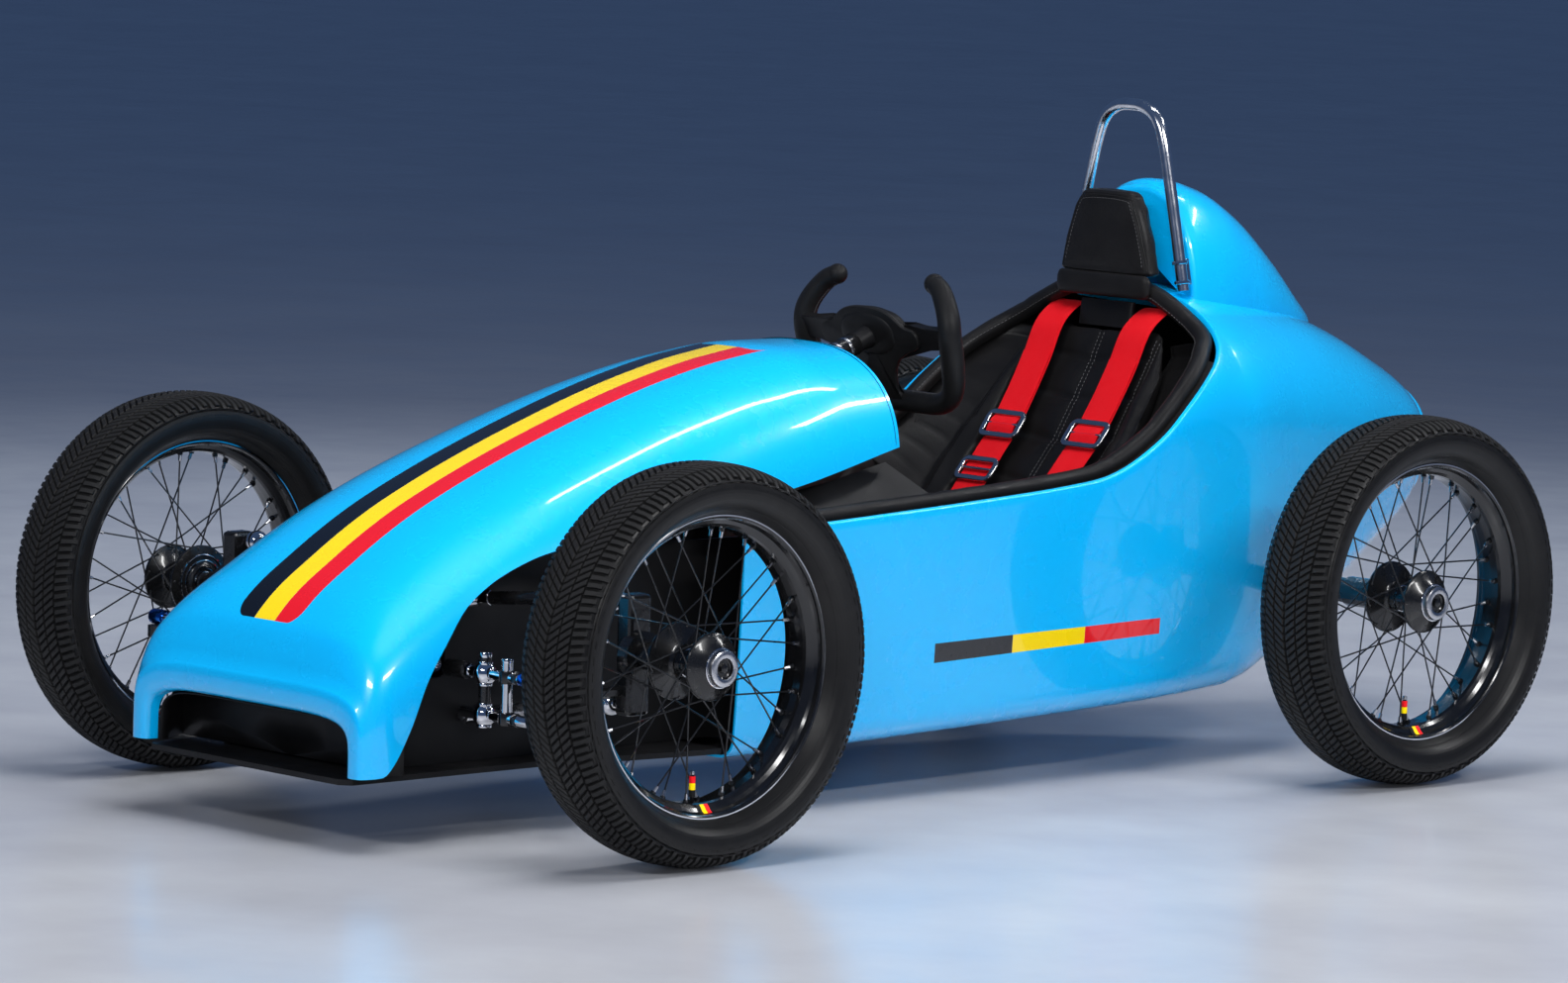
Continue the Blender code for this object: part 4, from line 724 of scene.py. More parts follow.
# closed part behind the cockpit: the first samples match the last open row
seam = open_rows[-1][1]
close_st = [1.400] + list(np.linspace(1.404, 2.020, 56))
n2 = 26
closed_rows = []
for fy in close_st:
    p = body_curve(fy)
    if fy == 1.400:
        low = seam
    else:
        frac = spline([(1.40, float(seam[-1][1] - spline(BODY_TOP, 1.40))), (2.02, -0.004)], fy)
        low = along(p, NS, spline(BODY_TOP, fy) + frac)
    k = low[-1]
    m_top = [q for q in p if q[1] > k[1] and q[0] < k[0]]
    hi = along(np.vstack([k] + m_top), n2)
    closed_rows.append([(x, Y(fy), z) for x, z in np.vstack([low, hi[1:]])])
TAIL_MID = 0.448
lastr = closed_rows[-1]
for i in range(1, 13):
    a = pi / 2 * i / 12
    f = 1 - 0.34 * (1 - cos(a)) ** 1.0
    closed_rows.append([(x * f, Y(2.020) + (TAIL_Y - Y(2.020)) * sin(a), TAIL_MID + (z - TAIL_MID) * f) for x, y0, z in lastr])
cap = closed_rows[-1]
for f in (0.85, 0.6, 0.3, 0.02):
    closed_rows.append([(x * f, TAIL_Y, TAIL_MID + (z - TAIL_MID) * f) for x, y0, z in cap])
grid(bag, closed_rows)
grid(bag, [[(-x, y, z) for x, y, z in r] for r in closed_rows])
body = bag.make("body_skin", [M_BODY, M_LINER], angle=60, merge=0.00004)
md = body.modifiers.new("thickness", 'SOLIDIFY')
md.thickness = 0.004
md.offset = -1.0
md.material_offset = 1
md.material_offset_rim = 0
apply_mods(body)
body.data.shade_smooth()
body.data.set_sharp_from_angle(angle=radians(50))
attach(body, "chassis")
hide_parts("body_shell")

# ---------------------------------------------------------------- headrest fairing
FAIR_TOP = [(1.436, 0.874), (1.467, 0.882), (1.530, 0.869), (1.594, 0.838), (1.680, 0.772), (1.760, 0.700),
            (1.815, 0.662)]
FAIR_W = [(1.436, 0.128), (1.50, 0.132), (1.60, 0.120), (1.70, 0.092), (1.78, 0.056), (1.815, 0.026)]


def fairing_section(fy, count=81, f=1.0, y=None):
    w, zt = spline(FAIR_W, fy) * f, spline(FAIR_TOP, fy)
    out = []
    for i in range(count):
        a = pi * i / (count - 1)
        c, s = cos(a), sin(a)
        x = w * (1 if c >= 0 else -1) * abs(c) ** 0.82
        base = spline(BODY_TOP, fy)
        zb = spline(BODY_MID, fy) + (base - spline(BODY_MID, fy)) * max(
            0.0, 1 - (abs(x) / spline(BODY_W, fy)) ** spline(BODY_EXP, fy)) ** (1 / spline(BODY_EXP, fy)) - 0.012
        z = zb + max(0.0, (zt + 0.012 - base)) * f * abs(s) ** 0.9
        out.append((x, Y(fy) if y is None else y, z))
    return out


fr = []
for i in range(9):
    a = pi / 2 * i / 8
    fr.append(fairing_section(1.436, f=0.935 + 0.065 * sin(a), y=Y(1.436) - 0.001 + 0.010 * (1 - cos(a))))
fr += [fairing_section(s) for s in np.linspace(1.449, 1.815, 60)]
front_c = Vector((0, fr[0][0][1] - 0.0, 0.78))
bag = Bag()
inner = []
for f in (0.02, 0.35, 0.7, 0.93, 0.985):
    inner.append([(x * f, y, front_c.z + (z - front_c.z) * f) for x, y, z in fr[0]])
grid(bag, inner + fr)
fair = bag.make("headrest_fairing_skin", [M_BLUE], angle=60, outward=False)
if sum(p.normal.z * p.area for p in fair.data.polygons) < 0:
    fair.data.flip_normals()
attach(fair, "chassis")
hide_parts("headrest_fairing")

# ---------------------------------------------------------------- tyres
TYRE_OUT = [(0.2108, 0.0385), (0.2135, 0.0430), (0.2175, 0.0490), (0.2235, 0.0570), (0.2310, 0.0632), (0.2400, 0.0660),
            (0.2480, 0.0666), (0.2560, 0.0652), (0.2630, 0.0618), (0.2690, 0.0555), (0.2735, 0.0470), (0.2768, 0.0350),
            (0.2790, 0.0200), (0.2798, 0.0)]
PITCHES = 74


def tyre_profile(n):
    pts = [Vector((r, x, 0)) for r, x in TYRE_OUT] + [Vector((r, -x, 0)) for r, x in reversed(TYRE_OUT[:-1])]
    return curve_points(pts, n)


prof_dense = tyre_profile(401)
pd = np.array([(p.x, p.y) for p in prof_dense])
sd = np.concatenate([[0], np.cumsum(np.hypot(*np.diff(pd, axis=0).T))])
S_MID = sd[-1] / 2


def on_tyre(v, lift=0.0):
    """Point (r, x) at arc distance v from the crown, raised by lift along the normal."""
    s = S_MID - v
    r, x = np.interp(s, sd, pd[:, 0]), np.interp(s, sd, pd[:, 1])
    sa = min(max(s, 0.0), sd[-1] - 0.001)
    t = np.array([np.interp(sa + 0.001, sd, pd[:, i]) - np.interp(sa, sd, pd[:, i]) for i in (0, 1)])
    t /= np.hypot(*t)
    nrm = np.array([-t[1], t[0]])
    if nrm[0] * 1.0 + nrm[1] * np.sign(x) * 0.6 < 0:
        nrm = -nrm
    return r + nrm[0] * lift, x + nrm[1] * lift


def tyre_place(u, v, lift):
    """u: distance round the crown in metres, v: across, lift above the groove floor."""
    r, x = on_tyre(v, lift)
    a = u / 0.2798
    return (x, r * sin(a), r * cos(a))


DEPTH = 0.0042


def block(bag, quad, split=2, mat=0):
    """Raised tread block. quad: four (u, v) corners, first two on one v side."""
    (a, b, c, d) = quad      # a-b along u at v0, d-c along u at v1
    top, sh, bot = [], [], []
    cu = sum(p[0] for p in quad) / 4
    cv = sum(p[1] for p in quad) / 4
    loop = []
    for i in range(split + 1):
        t = i / split
        loop.append((a[0] + (d[0] - a[0]) * t, a[1] + (d[1] - a[1]) * t))
    for i in range(split + 1):
        t = 1 - i / split
        loop.append((b[0] + (c[0] - b[0]) * t, b[1] + (c[1] - b[1]) * t))
    n = len(loop)

    def inset(p, k):
        du, dv = p[0] - cu, p[1] - cv
        L = sqrt(du * du + dv * dv)
        return (p[0] - du / L * k, p[1] - dv / L * k)
    verts = [tyre_place(*inset(p, 0.0012), 0.0) for p in loop]
    verts += [tyre_place(*inset(p, 0.0004), -0.0007) for p in loop]
    verts += [tyre_place(*inset(p, -0.0003), -DEPTH - 0.0006) for p in loop]
    faces = []
    for k in range(2):
        for i in range(n):
            j = (i + 1) % n
            faces.append((k * n + i, k * n + j, (k + 1) * n + j, (k + 1) * n + i))
    for i in range(split):
        faces.append((i, i + 1, n - 2 - i, n - 1 - i))
    bag.add(verts, faces, mat)


def build_tyre():
    bag = Bag()
    prof = []
    # groove floor across the tread, full outer surface at the side walls; the groove floor faces take a matte rubber
    # painted darker, painted shade in the grooves
    n = 61
    for i in range(n):
        v = S_MID * (1 - 2 * i / (n - 1))
        av = abs(v)
        sink = DEPTH * min(1.0, max(0.0, (0.0745 - av) / 0.004))
        prof.append(on_tyre(v, -sink))
    floor_mats = [1 if prof[i][0] > 0.2610 and prof[i + 1][0] > 0.2610 else 0 for i in range(n - 1)]
    turned(bag, [(r, x) for r, x in prof], (0, 0, 0), 150, 0, mats=floor_mats)
    # moulding ridges on the side walls
    for s in (1, -1):
        for r0, h, w in ((0.2190, 0.0007, 0.0012), (0.2585, 0.0008, 0.0010)):
            j = int(np.argmin(abs(pd[:200, 0] - r0)))
            vv = S_MID - sd[j]
            ring = [on_tyre(vv - w, -0.0002), on_tyre(vv, h), on_tyre(vv + w, -0.0002)]
            turned(bag, ring, (0, 0, 0), 150, 0, sx=s)
    L = 2 * pi * 0.2798
    p = L / PITCHES
    for k in range(PITCHES):
        u0 = k * p
        for s in (1, -1):
            o = 0.0 if s > 0 else p * 0.5
            # herringbone centre bars, pointing forward
            bl = [((0.0020, 0.020), 0.013, 0.66), ((0.0225, 0.0405), 0.012, 0.62)]
            for (v0, v1), lead, fill in bl:
                ua, ub = u0 + o + v0 * 0.72, u0 + o + v1 * 0.72
                w = p * fill * 0.5
                for half in (0, 1):
                    off = half * p * 0.5
                    w2 = p * 0.5 * 0.70
                    block(bag, [(ua + off, s * v0), (ua + off + w2, s * v0), (ub + off + w2, s * v1), (ub + off, s * v1)])
            # shoulder lugs, long and short in turn
            v0 = 0.0430
            for half in (0, 1):
                v1 = 0.0715 if half else 0.0655
                ua = u0 + o + half * p * 0.5 + v0 * 0.60
                ub = ua + (v1 - v0) * 0.18
                w2 = p * 0.5 * 0.62
                block(bag, [(ua, s * v0), (ua + w2, s * v0), (ub + w2, s * v1), (ub, s * v1)], split=3)
    # dashed line moulded on both side walls
    for s in (1, -1):
        for k in range(72):
            a0 = 2 * pi * k / 72
            for (ra, rb) in ((0.2492, 0.2506),):
                q = []
                for (r0, da) in ((ra, 0), (rb, 0), (rb, 0.045), (ra, 0.045)):
                    j = int(np.argmin(abs(pd[:200, 0] - r0)))
                    vv = S_MID - sd[j]
                    for lift in (0.0006, -0.0003):
                        r, x = on_tyre(vv, lift)
                        q.append((s * x, r * sin(a0 + da), r * cos(a0 + da)))
                bag.add(q, [(0, 2, 4, 6), (0, 1, 3, 2), (2, 3, 5, 4), (4, 5, 7, 6), (6, 7, 1, 0)])
    # inner closing surface between the beads
    turned(bag, [(0.2108, 0.0385), (0.2128, 0.0300), (0.2135, 0.0), (0.2128, -0.0300), (0.2108, -0.0385)], (0, 0, 0), 100, 0)
    return bag


tyre_bag = build_tyre()
tyre0 = tyre_bag.make("tyre_template", [M_TYRE, M_GROOVE_SHADE], angle=32)
tyre_mesh = tyre0.data
tyre_mesh_r = tyre_mesh.copy()
bpy.data.objects.remove(tyre0, do_unlink=True)

# ---------------------------------------------------------------- wheels
RIM_PROF = [(0.2104, 0.0372), (0.2106, 0.0384), (0.2098, 0.0388), (0.2078, 0.0388), (0.2068, 0.0384), (0.2052, 0.0370),
            (0.2042, 0.0340), (0.2036, 0.0300), (0.2010, 0.0262), (0.1960, 0.0225), (0.1918, 0.0185), (0.1904, 0.0130),
            (0.1900, 0.0), (0.1904, -0.0130), (0.1918, -0.0185), (0.1960, -0.0225), (0.2010, -0.0262), (0.2036, -0.0300),
            (0.2042, -0.0340), (0.2052, -0.0370), (0.2068, -0.0384), (0.2078, -0.0388), (0.2098, -0.0388),
            (0.2106, -0.0384), (0.2104, -0.0372)]


def wheel_bag(sx):
    """Rim, spokes, nipples and hub. Materials: 0 rim, 1 spoke, 2 chrome, 3 black metal, 4 steel, 5.. stickers."""
    bag = Bag()
    mats = [0] * (len(RIM_PROF) - 1)
    for i in (2, len(mats) - 3):
        mats[i] = 2
    turned(bag, RIM_PROF, (0, 0, 0), 144, 0, sx=sx, mats=mats)
    # hub shell
    hub = [(0.0112, -0.0495), (0.0235, -0.0498), (0.0250, -0.0488), (0.0262, -0.0470), (0.0300, -0.0455), (0.0515, -0.0412),
           (0.0535, -0.0405), (0.0540, -0.0392), (0.0540, -0.0368), (0.0532, -0.0356), (0.0500, -0.0346), (0.0260, -0.0290),
           (0.0205, -0.0250), (0.0187, -0.0215), (0.0185, 0.0150), (0.0200, 0.0195), (0.0235, 0.0232), (0.0450, 0.0290),
           (0.0470, 0.0298), (0.0475, 0.0310), (0.0475, 0.0332), (0.0468, 0.0343), (0.0430, 0.0360), (0.0300, 0.0470),
           (0.0270, 0.0500)]
    turned(bag, hub, (0, 0, 0), 72, 3, sx=sx)
    # chrome rings on the inner flange and round the barrel
    for r, x, t in ((0.0405, -0.0445, 0.0012), (0.0320, -0.0462, 0.0012), (0.0192, -0.012, 0.0010), (0.0192, 0.008, 0.0010),
                    (0.0272, 0.0502, 0.0013)):
        ringp = [(r + t * cos(2 * pi * k / 8), x + t * sin(2 * pi * k / 8)) for k in range(9)]
        turned(bag, ringp, (0, 0, 0), 64, 2, sx=sx)
    # rounded silver end cap with a dark recess
    cap = [(0.0262, 0.0498), (0.0262, 0.0560), (0.0250, 0.0590), (0.0225, 0.0606), (0.0195, 0.0610), (0.0165, 0.0606),
           (0.0148, 0.0598)]
    turned(bag, cap, (0, 0, 0), 64, 4, sx=sx)
    turned(bag, [(0.0148, 0.0598), (0.0140, 0.0560), (0.0120, 0.0545), (0.0004, 0.0545)], (0, 0, 0), 48, 3, sx=sx)
    rod(bag, (sx * 0.0540, 0, 0), (sx * 0.0586, 0, 0), 0.0068, 6, 3, bevel=0.0008)
    # inner end collar
    turned(bag, [(0.0112, -0.0496), (0.0112, -0.0502), (0.0200, -0.0502), (0.0212, -0.0498)], (0, 0, 0), 48, 2, sx=sx)
    count = 36
    for i in range(count):
        outer = i % 2 == 0
        a_rim = 2 * pi * (i + 0.5) / count
        lead = 1 if (i // 2) % 2 == 0 else -1
        a_hub = a_rim + lead * radians(58)
        xh = 0.0318 if outer else -0.0380
        rh = 0.0432 if outer else 0.0495
        p = Vector((sx * (xh + (0.0022 if lead > 0 else -0.0022)), rh * cos(a_hub), rh * sin(a_hub)))
        q = Vector((sx * (0.0065 if outer else -0.0065), 0.1908 * cos(a_rim), 0.1908 * sin(a_rim)))
        mid = (p + q) / 2
        d = (q - p).normalized()
        tube(bag, [p, q], 0.00125, 7, 1, caps=False)
        # elbow head in the flange
        ball(bag, p, 0.0026, 8, 6, 1)
        # nipple and its washer
        rod(bag, q - d * 0.0135, q + d * 0.001, 0.0024, 8, 4, r2=0.0028)
        rod(bag, q - d * 0.0045, q + d * 0.0015, 0.0040, 10, 3, r2=0.0044)
    # valve stem at the bottom, with coloured bands
    va = -pi / 2
    vdir = Vector((0, cos(va), sin(va)))
    v0 = vdir * 0.1900
    rod(bag, v0, vdir * 0.1520, 0.0030, 12, 3, bevel=0.0004)
    for k, mm in enumerate((5, 6, 7)):
        rod(bag, vdir * (0.1835 - 0.0095 * k), vdir * (0.1835 - 0.0095 * (k + 1)), 0.0046, 14, mm, bevel=0.0004)
    rod(bag, vdir * 0.1530, vdir * 0.1475, 0.0034, 12, 4, bevel=0.0008)
    # small three-colour label on the outer side of the rim well
    for k, mm in enumerate((5, 6, 7)):
        a0 = va + radians(-3.3 + 2.2 * k)
        for side in (1,):
            q = []
            for (r, x) in ((0.2034, 0.0300), (0.2008, 0.0262), (0.1958, 0.0226), (0.1922, 0.0192)):
                for da in (0.0, radians(2.2)):
                    rr = r - 0.0005
                    q.append((sx * x, rr * cos(a0 + da), rr * sin(a0 + da)))
            bag.add(q, [(0, 1, 3, 2), (2, 3, 5, 4), (4, 5, 7, 6)], mm)
    return bag


WHEEL_MATS = [M_RIM, M_SPOKE, M_CHROME, M_BLACKM, M_STEEL, M_BLK, M_YEL, M_RED]
wheel_mesh = {}
for sx in (1, -1):
    o = wheel_bag(sx).make("wheel_template", WHEEL_MATS, angle=35)
    wheel_mesh[sx] = o.data
    bpy.data.objects.remove(o, do_unlink=True)

for nm, sx, wy in (("front_left", 1, FRONT_AXLE_Y), ("front_right", -1, FRONT_AXLE_Y),
                   ("rear_left", 1, REAR_AXLE_Y), ("rear_right", -1, REAR_AXLE_Y)):
    c = Vector((sx * HALF_TRACK, wy, HUB_Z))
    t = bpy.data.objects.new("tyre_tread_" + nm, tyre_mesh)
    w = bpy.data.objects.new("wire_wheel_" + nm, wheel_mesh[sx])
    for o in (t, w):
        bpy.context.scene.collection.objects.link(o)
        o.location = c
        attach(o, "wheel_" + nm)
    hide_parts("tyre_" + nm)
    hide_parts("spoked_wheel_" + nm)

# ---------------------------------------------------------------- roll hoop and clamps
HY = Y(1.4150)
hoop_half = [(0.123, HY, 0.716), (0.107, HY, 0.790), (0.089, HY, 0.868), (0.070, HY, 0.944), (0.054, HY, 0.9785),
             (0.029, HY, 0.9948), (0.0, HY, 0.9980)]
hp = [Vector(p) for p in hoop_half] + [Vector((-p[0], p[1], p[2])) for p in reversed(hoop_half[:-1])]
bag = Bag()
tube(bag, curve_points(hp, 120), 0.0094, 28)
M_HOOP = metal("hoop_chrome", (0.86, 0.86, 0.88), 0.16)
hoop = bag.make("roll_hoop_tube", [M_HOOP], angle=60)
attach(hoop, "chassis"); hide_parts("roll_hoop")
for s, nm in ((1, "left"), (-1, "right")):
    a = Vector((s * 0.1209, HY, 0.7260))
    b = Vector((s * 0.1126, HY, 0.7640))
    d = (b - a).normalized()
    bag = Bag()
    u = d.cross(YA).normalized()
    for t0, t1, rr in ((0.0, 0.0055, 0.0122), (0.031, 0.0365, 0.0122)):
        n = 36
        rows = []
        for (off, r) in ((t0, 0.0096), (t0, rr - 0.0008), (t0 + 0.0008, rr), (t1 - 0.0008, rr), (t1, rr - 0.0008), (t1, 0.0096)):
            rows.append([a + d * off + u * r * cos(2 * pi * k / n) + YA * r * sin(2 * pi * k / n) for k in range(n)])
        grid(bag, rows, 0, close_c=True)
    slab(bag, (s * 0.1168, HY + 0.0125, 0.745), (0.010, 0.006, 0.040), (u, YA, d), 0.001)
    for t0 in (0.003, 0.0335):
        c = a + d * t0 + YA * 0.0
        rod(bag, c - YA * 0.0155, c - YA * 0.0105, 0.0030, 6, 0, bevel=0.0005)
    cl = bag.make("hoop_clamp_rings_" + nm, [M_CHROME], angle=35)
    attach(cl, "chassis"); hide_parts("hoop_clamp_" + nm)

# ---------------------------------------------------------------- steering wheel
axis = (WHEEL_TOP - COLUMN_FOOT).normalized()
side = Vector((1, 0, 0))
upv = axis.cross(side).normalized()
if upv.z < 0:
    upv = -upv


def in_wheel(u, v, w=0.0):
    return WHEEL_TOP + side * u + upv * v + axis * w


grip_half = [(0.104, 0.068, 0.046), (0.126, 0.058, 0.036), (0.150, 0.030, 0.016), (0.156, 0.0, 0.004), (0.152, -0.046, 0.0),
             (0.138, -0.088, 0.0), (0.108, -0.108, 0.0), (0.060, -0.110, 0.0), (0.0, -0.110, 0.0)]
loop = [in_wheel(*p) for p in grip_half] + [in_wheel(-p[0], p[1], p[2]) for p in reversed(grip_half[:-1])]
pts = curve_points(loop, 140)
n = len(pts)
radii = []
for i in range(n):
    s = i / (n - 1)
    e = min(s, 1 - s)
    r = 0.0150 + 0.0030 * sin(pi * min(e, 0.36) / 0.36) if e < 0.20 else 0.0166 + 0.0014 * max(0.0, 1 - (e - 0.20) / 0.08)
    radii.append(r if e > 0.004 else 0.0142)
bag = Bag()
tube(bag, pts, 0.015, 24, 0, radii=radii)
for s in (1, -1):
    ball(bag, in_wheel(s * 0.1045, 0.0675, 0.0455), 0.0158, 24, 14, 0)


def plate(bag, uv, w0, w1, mat, edge=0.002):
    """Flat plate in the wheel's plane with softened edges."""
    n = len(uv)
    cu, cv = sum(p[0] for p in uv) / n, sum(p[1] for p in uv) / n

    def ins(k):
        out = []
        for i in range(n):
            a, b, c = Vector(uv[i - 1]), Vector(uv[i]), Vector(uv[(i + 1) % n])
            t = (c - a).normalized()
            nn = Vector((-t.y, t.x))
            if nn.dot(Vector((cu, cv)) - b) < 0:
                nn = -nn
            out.append(b + nn * k)
        return out
    layers = [(w0, edge), (w0 + edge * 0.3, edge * 0.3), (w0 + edge, 0.0), (w1 - edge, 0.0), (w1 - edge * 0.3, edge * 0.3), (w1, edge)]
    rows = [[in_wheel(p.x, p.y, w) for p in ins(k)] for w, k in layers]
    k0 = len(bag.v)
    grid(bag, rows, mat, close_c=True)
    m = len(bag.v)
    for row_i, w in ((0, w0), (len(rows) - 1, w1)):
        c = in_wheel(cu, cv, w)
        ci = len(bag.v)
        bag.v.append(tuple(c))
        base = k0 + row_i * n
        for i in range(n):
            bag.f.append((base + i, base + (i + 1) % n, ci))
            bag.m.append(mat)


spoke_uv = []
for i in range(25):
    a = radians(20 + 140 * i / 24)
    spoke_uv.append((0.072 * cos(a), 0.041 * sin(a)))
spoke_uv += [(-0.090, 0.019), (-0.120, 0.018), (-0.150, 0.018), (-0.150, -0.015), (-0.120, -0.018), (-0.085, -0.028),
             (-0.050, -0.038), (-0.02, -0.040), (0.02, -0.040), (0.050, -0.038), (0.085, -0.028), (0.120, -0.018),
             (0.150, -0.015), (0.150, 0.018), (0.120, 0.018), (0.090, 0.019)]
plate(bag, spoke_uv, -0.008, 0.006, 1)
# padded centre boss, crowned towards the driver
pad_uv = [(0.064 * (1 if cos(a) >= 0 else -1) * abs(cos(a)) ** 0.75, 0.002 + 0.0345 * (1 if sin(a) >= 0 else -1) * abs(sin(a)) ** 0.8)
          for a in (2 * pi * i / 48 for i in range(48))]
rows = []
for k in range(9):
    f = cos(pi / 2 * k / 8.6)
    h = 0.006 + 0.012 * sin(pi / 2 * k / 8.0)
    rows.append([in_wheel(u * (0.35 + 0.65 * f) if k < 8 else u * 0.02, v * (0.35 + 0.65 * f) if k < 8 else v * 0.02, h) for u, v in pad_uv])
grid(bag, rows, 0, close_c=True)
# stem to the lower bar, and the hub behind
plate(bag, [(-0.022, -0.104), (-0.018, -0.07), (-0.020, -0.036), (0.020, -0.036), (0.018, -0.07), (0.022, -0.104)], -0.0045, 0.0045, 1)
half_uv = [(0.0, 0.0470), (0.018, 0.0462), (0.036, 0.0430), (0.052, 0.0370), (0.066, 0.0270), (0.078, 0.0180), (0.094, 0.0140),
           (0.102, 0.0060), (0.1020, -0.0100), (0.092, -0.0180), (0.074, -0.0250), (0.054, -0.0370), (0.040, -0.0540),
           (0.034, -0.0740), (0.033, -0.0900), (0.040, -0.1030)]
outline = curve_points([Vector((u, v, 0)) for u, v in half_uv], 60)
shield = [(p.x, p.y) for p in outline] + [(-p.x, p.y) for p in reversed(outline[1:])]
plate(bag, shield, -0.0150, -0.0060, 0, edge=0.0030)
# raised arch over the boss
arch = [(0.056 * (1 if cos(a) >= 0 else -1) * abs(cos(a)) ** 0.85, 0.004 + 0.0340 * (1 if sin(a) >= 0 else -1) * abs(sin(a)) ** 0.85)
        for a in (2 * pi * i / 64 for i in range(64))]
rows = []
for k in range(13):
    q = pi / 2 * k / 12
    f = 1.0 if k == 0 else (cos(q) ** 0.35 if k < 12 else 0.02)
    rows.append([in_wheel(u * f, v * f, -0.0140 - 0.0060 * sin(q)) for u, v in arch])
grid(bag, rows, 0, close_c=True)
tube(bag, [in_wheel(0, 0, -0.045), in_wheel(0, 0, -0.041), in_wheel(0, 0, -0.030), in_wheel(0, 0, -0.019)], 0.017, 32, 1,
     radii=[0.0140, 0.0150, 0.0160, 0.0190])
# buttons and bolts on the crossbar
for u, v, mm in ((0.098, 0.002, 4), (-0.098, 0.002, 3), (0.122, 0.002, 5), (-0.122, 0.002, 5)):
    rod(bag, in_wheel(u, v, 0.005), in_wheel(u, v, 0.0105), 0.0062, 20, mm, bevel=0.0012)
    rod(bag, in_wheel(u, v, 0.004), in_wheel(u, v, 0.0075), 0.0082, 20, 2, bevel=0.0008)
for k in range(6):
    a = 2 * pi * k / 6 + 0.3
    rod(bag, in_wheel(0.0520 * cos(a), 0.0300 * sin(a), -0.0135), in_wheel(0.0520 * cos(a), 0.0300 * sin(a), -0.0170), 0.0026, 6, 1)
# stitched seam along the inner side of the grips
for s in (1, -1):
    for i in range(6, 60):
        j = i if s > 0 else n - 1 - i
        p = pts[j]
        t = (pts[min(n - 1, j + 1)] - pts[max(0, j - 1)]).normalized()
        inward = (in_wheel(0, -0.02) - p)
        inward = (inward - t * inward.dot(t)).normalized()
        c = p + inward * (radii[j] + 0.0002)
        rod(bag, c - t * 0.0016, c + t * 0.0016, 0.0006, 5, 2)
sw = bag.make("racing_wheel", [M_GRIP, M_PLATE, M_THREAD, M_RED, M_YEL, M_BLACKM], angle=38)
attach(sw, "steering"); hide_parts("steering_wheel")

# column with its collar and two rings
bag = Bag()
rod(bag, COLUMN_FOOT, WHEEL_TOP - axis * 0.0454, 0.0109, 24, 0)
rod(bag, WHEEL_TOP - axis * 0.108, WHEEL_TOP - axis * 0.0454, 0.0178, 28, 0, bevel=0.002)
for t in (0.066, 0.086):
    rod(bag, WHEEL_TOP - axis * (t + 0.003), WHEEL_TOP - axis * (t - 0.003), 0.0180, 28, 1, bevel=0.0004)
col = bag.make("column_tube", [M_BLACKM, M_STEEL], angle=40)
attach(col, "steering"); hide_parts("steering_column")

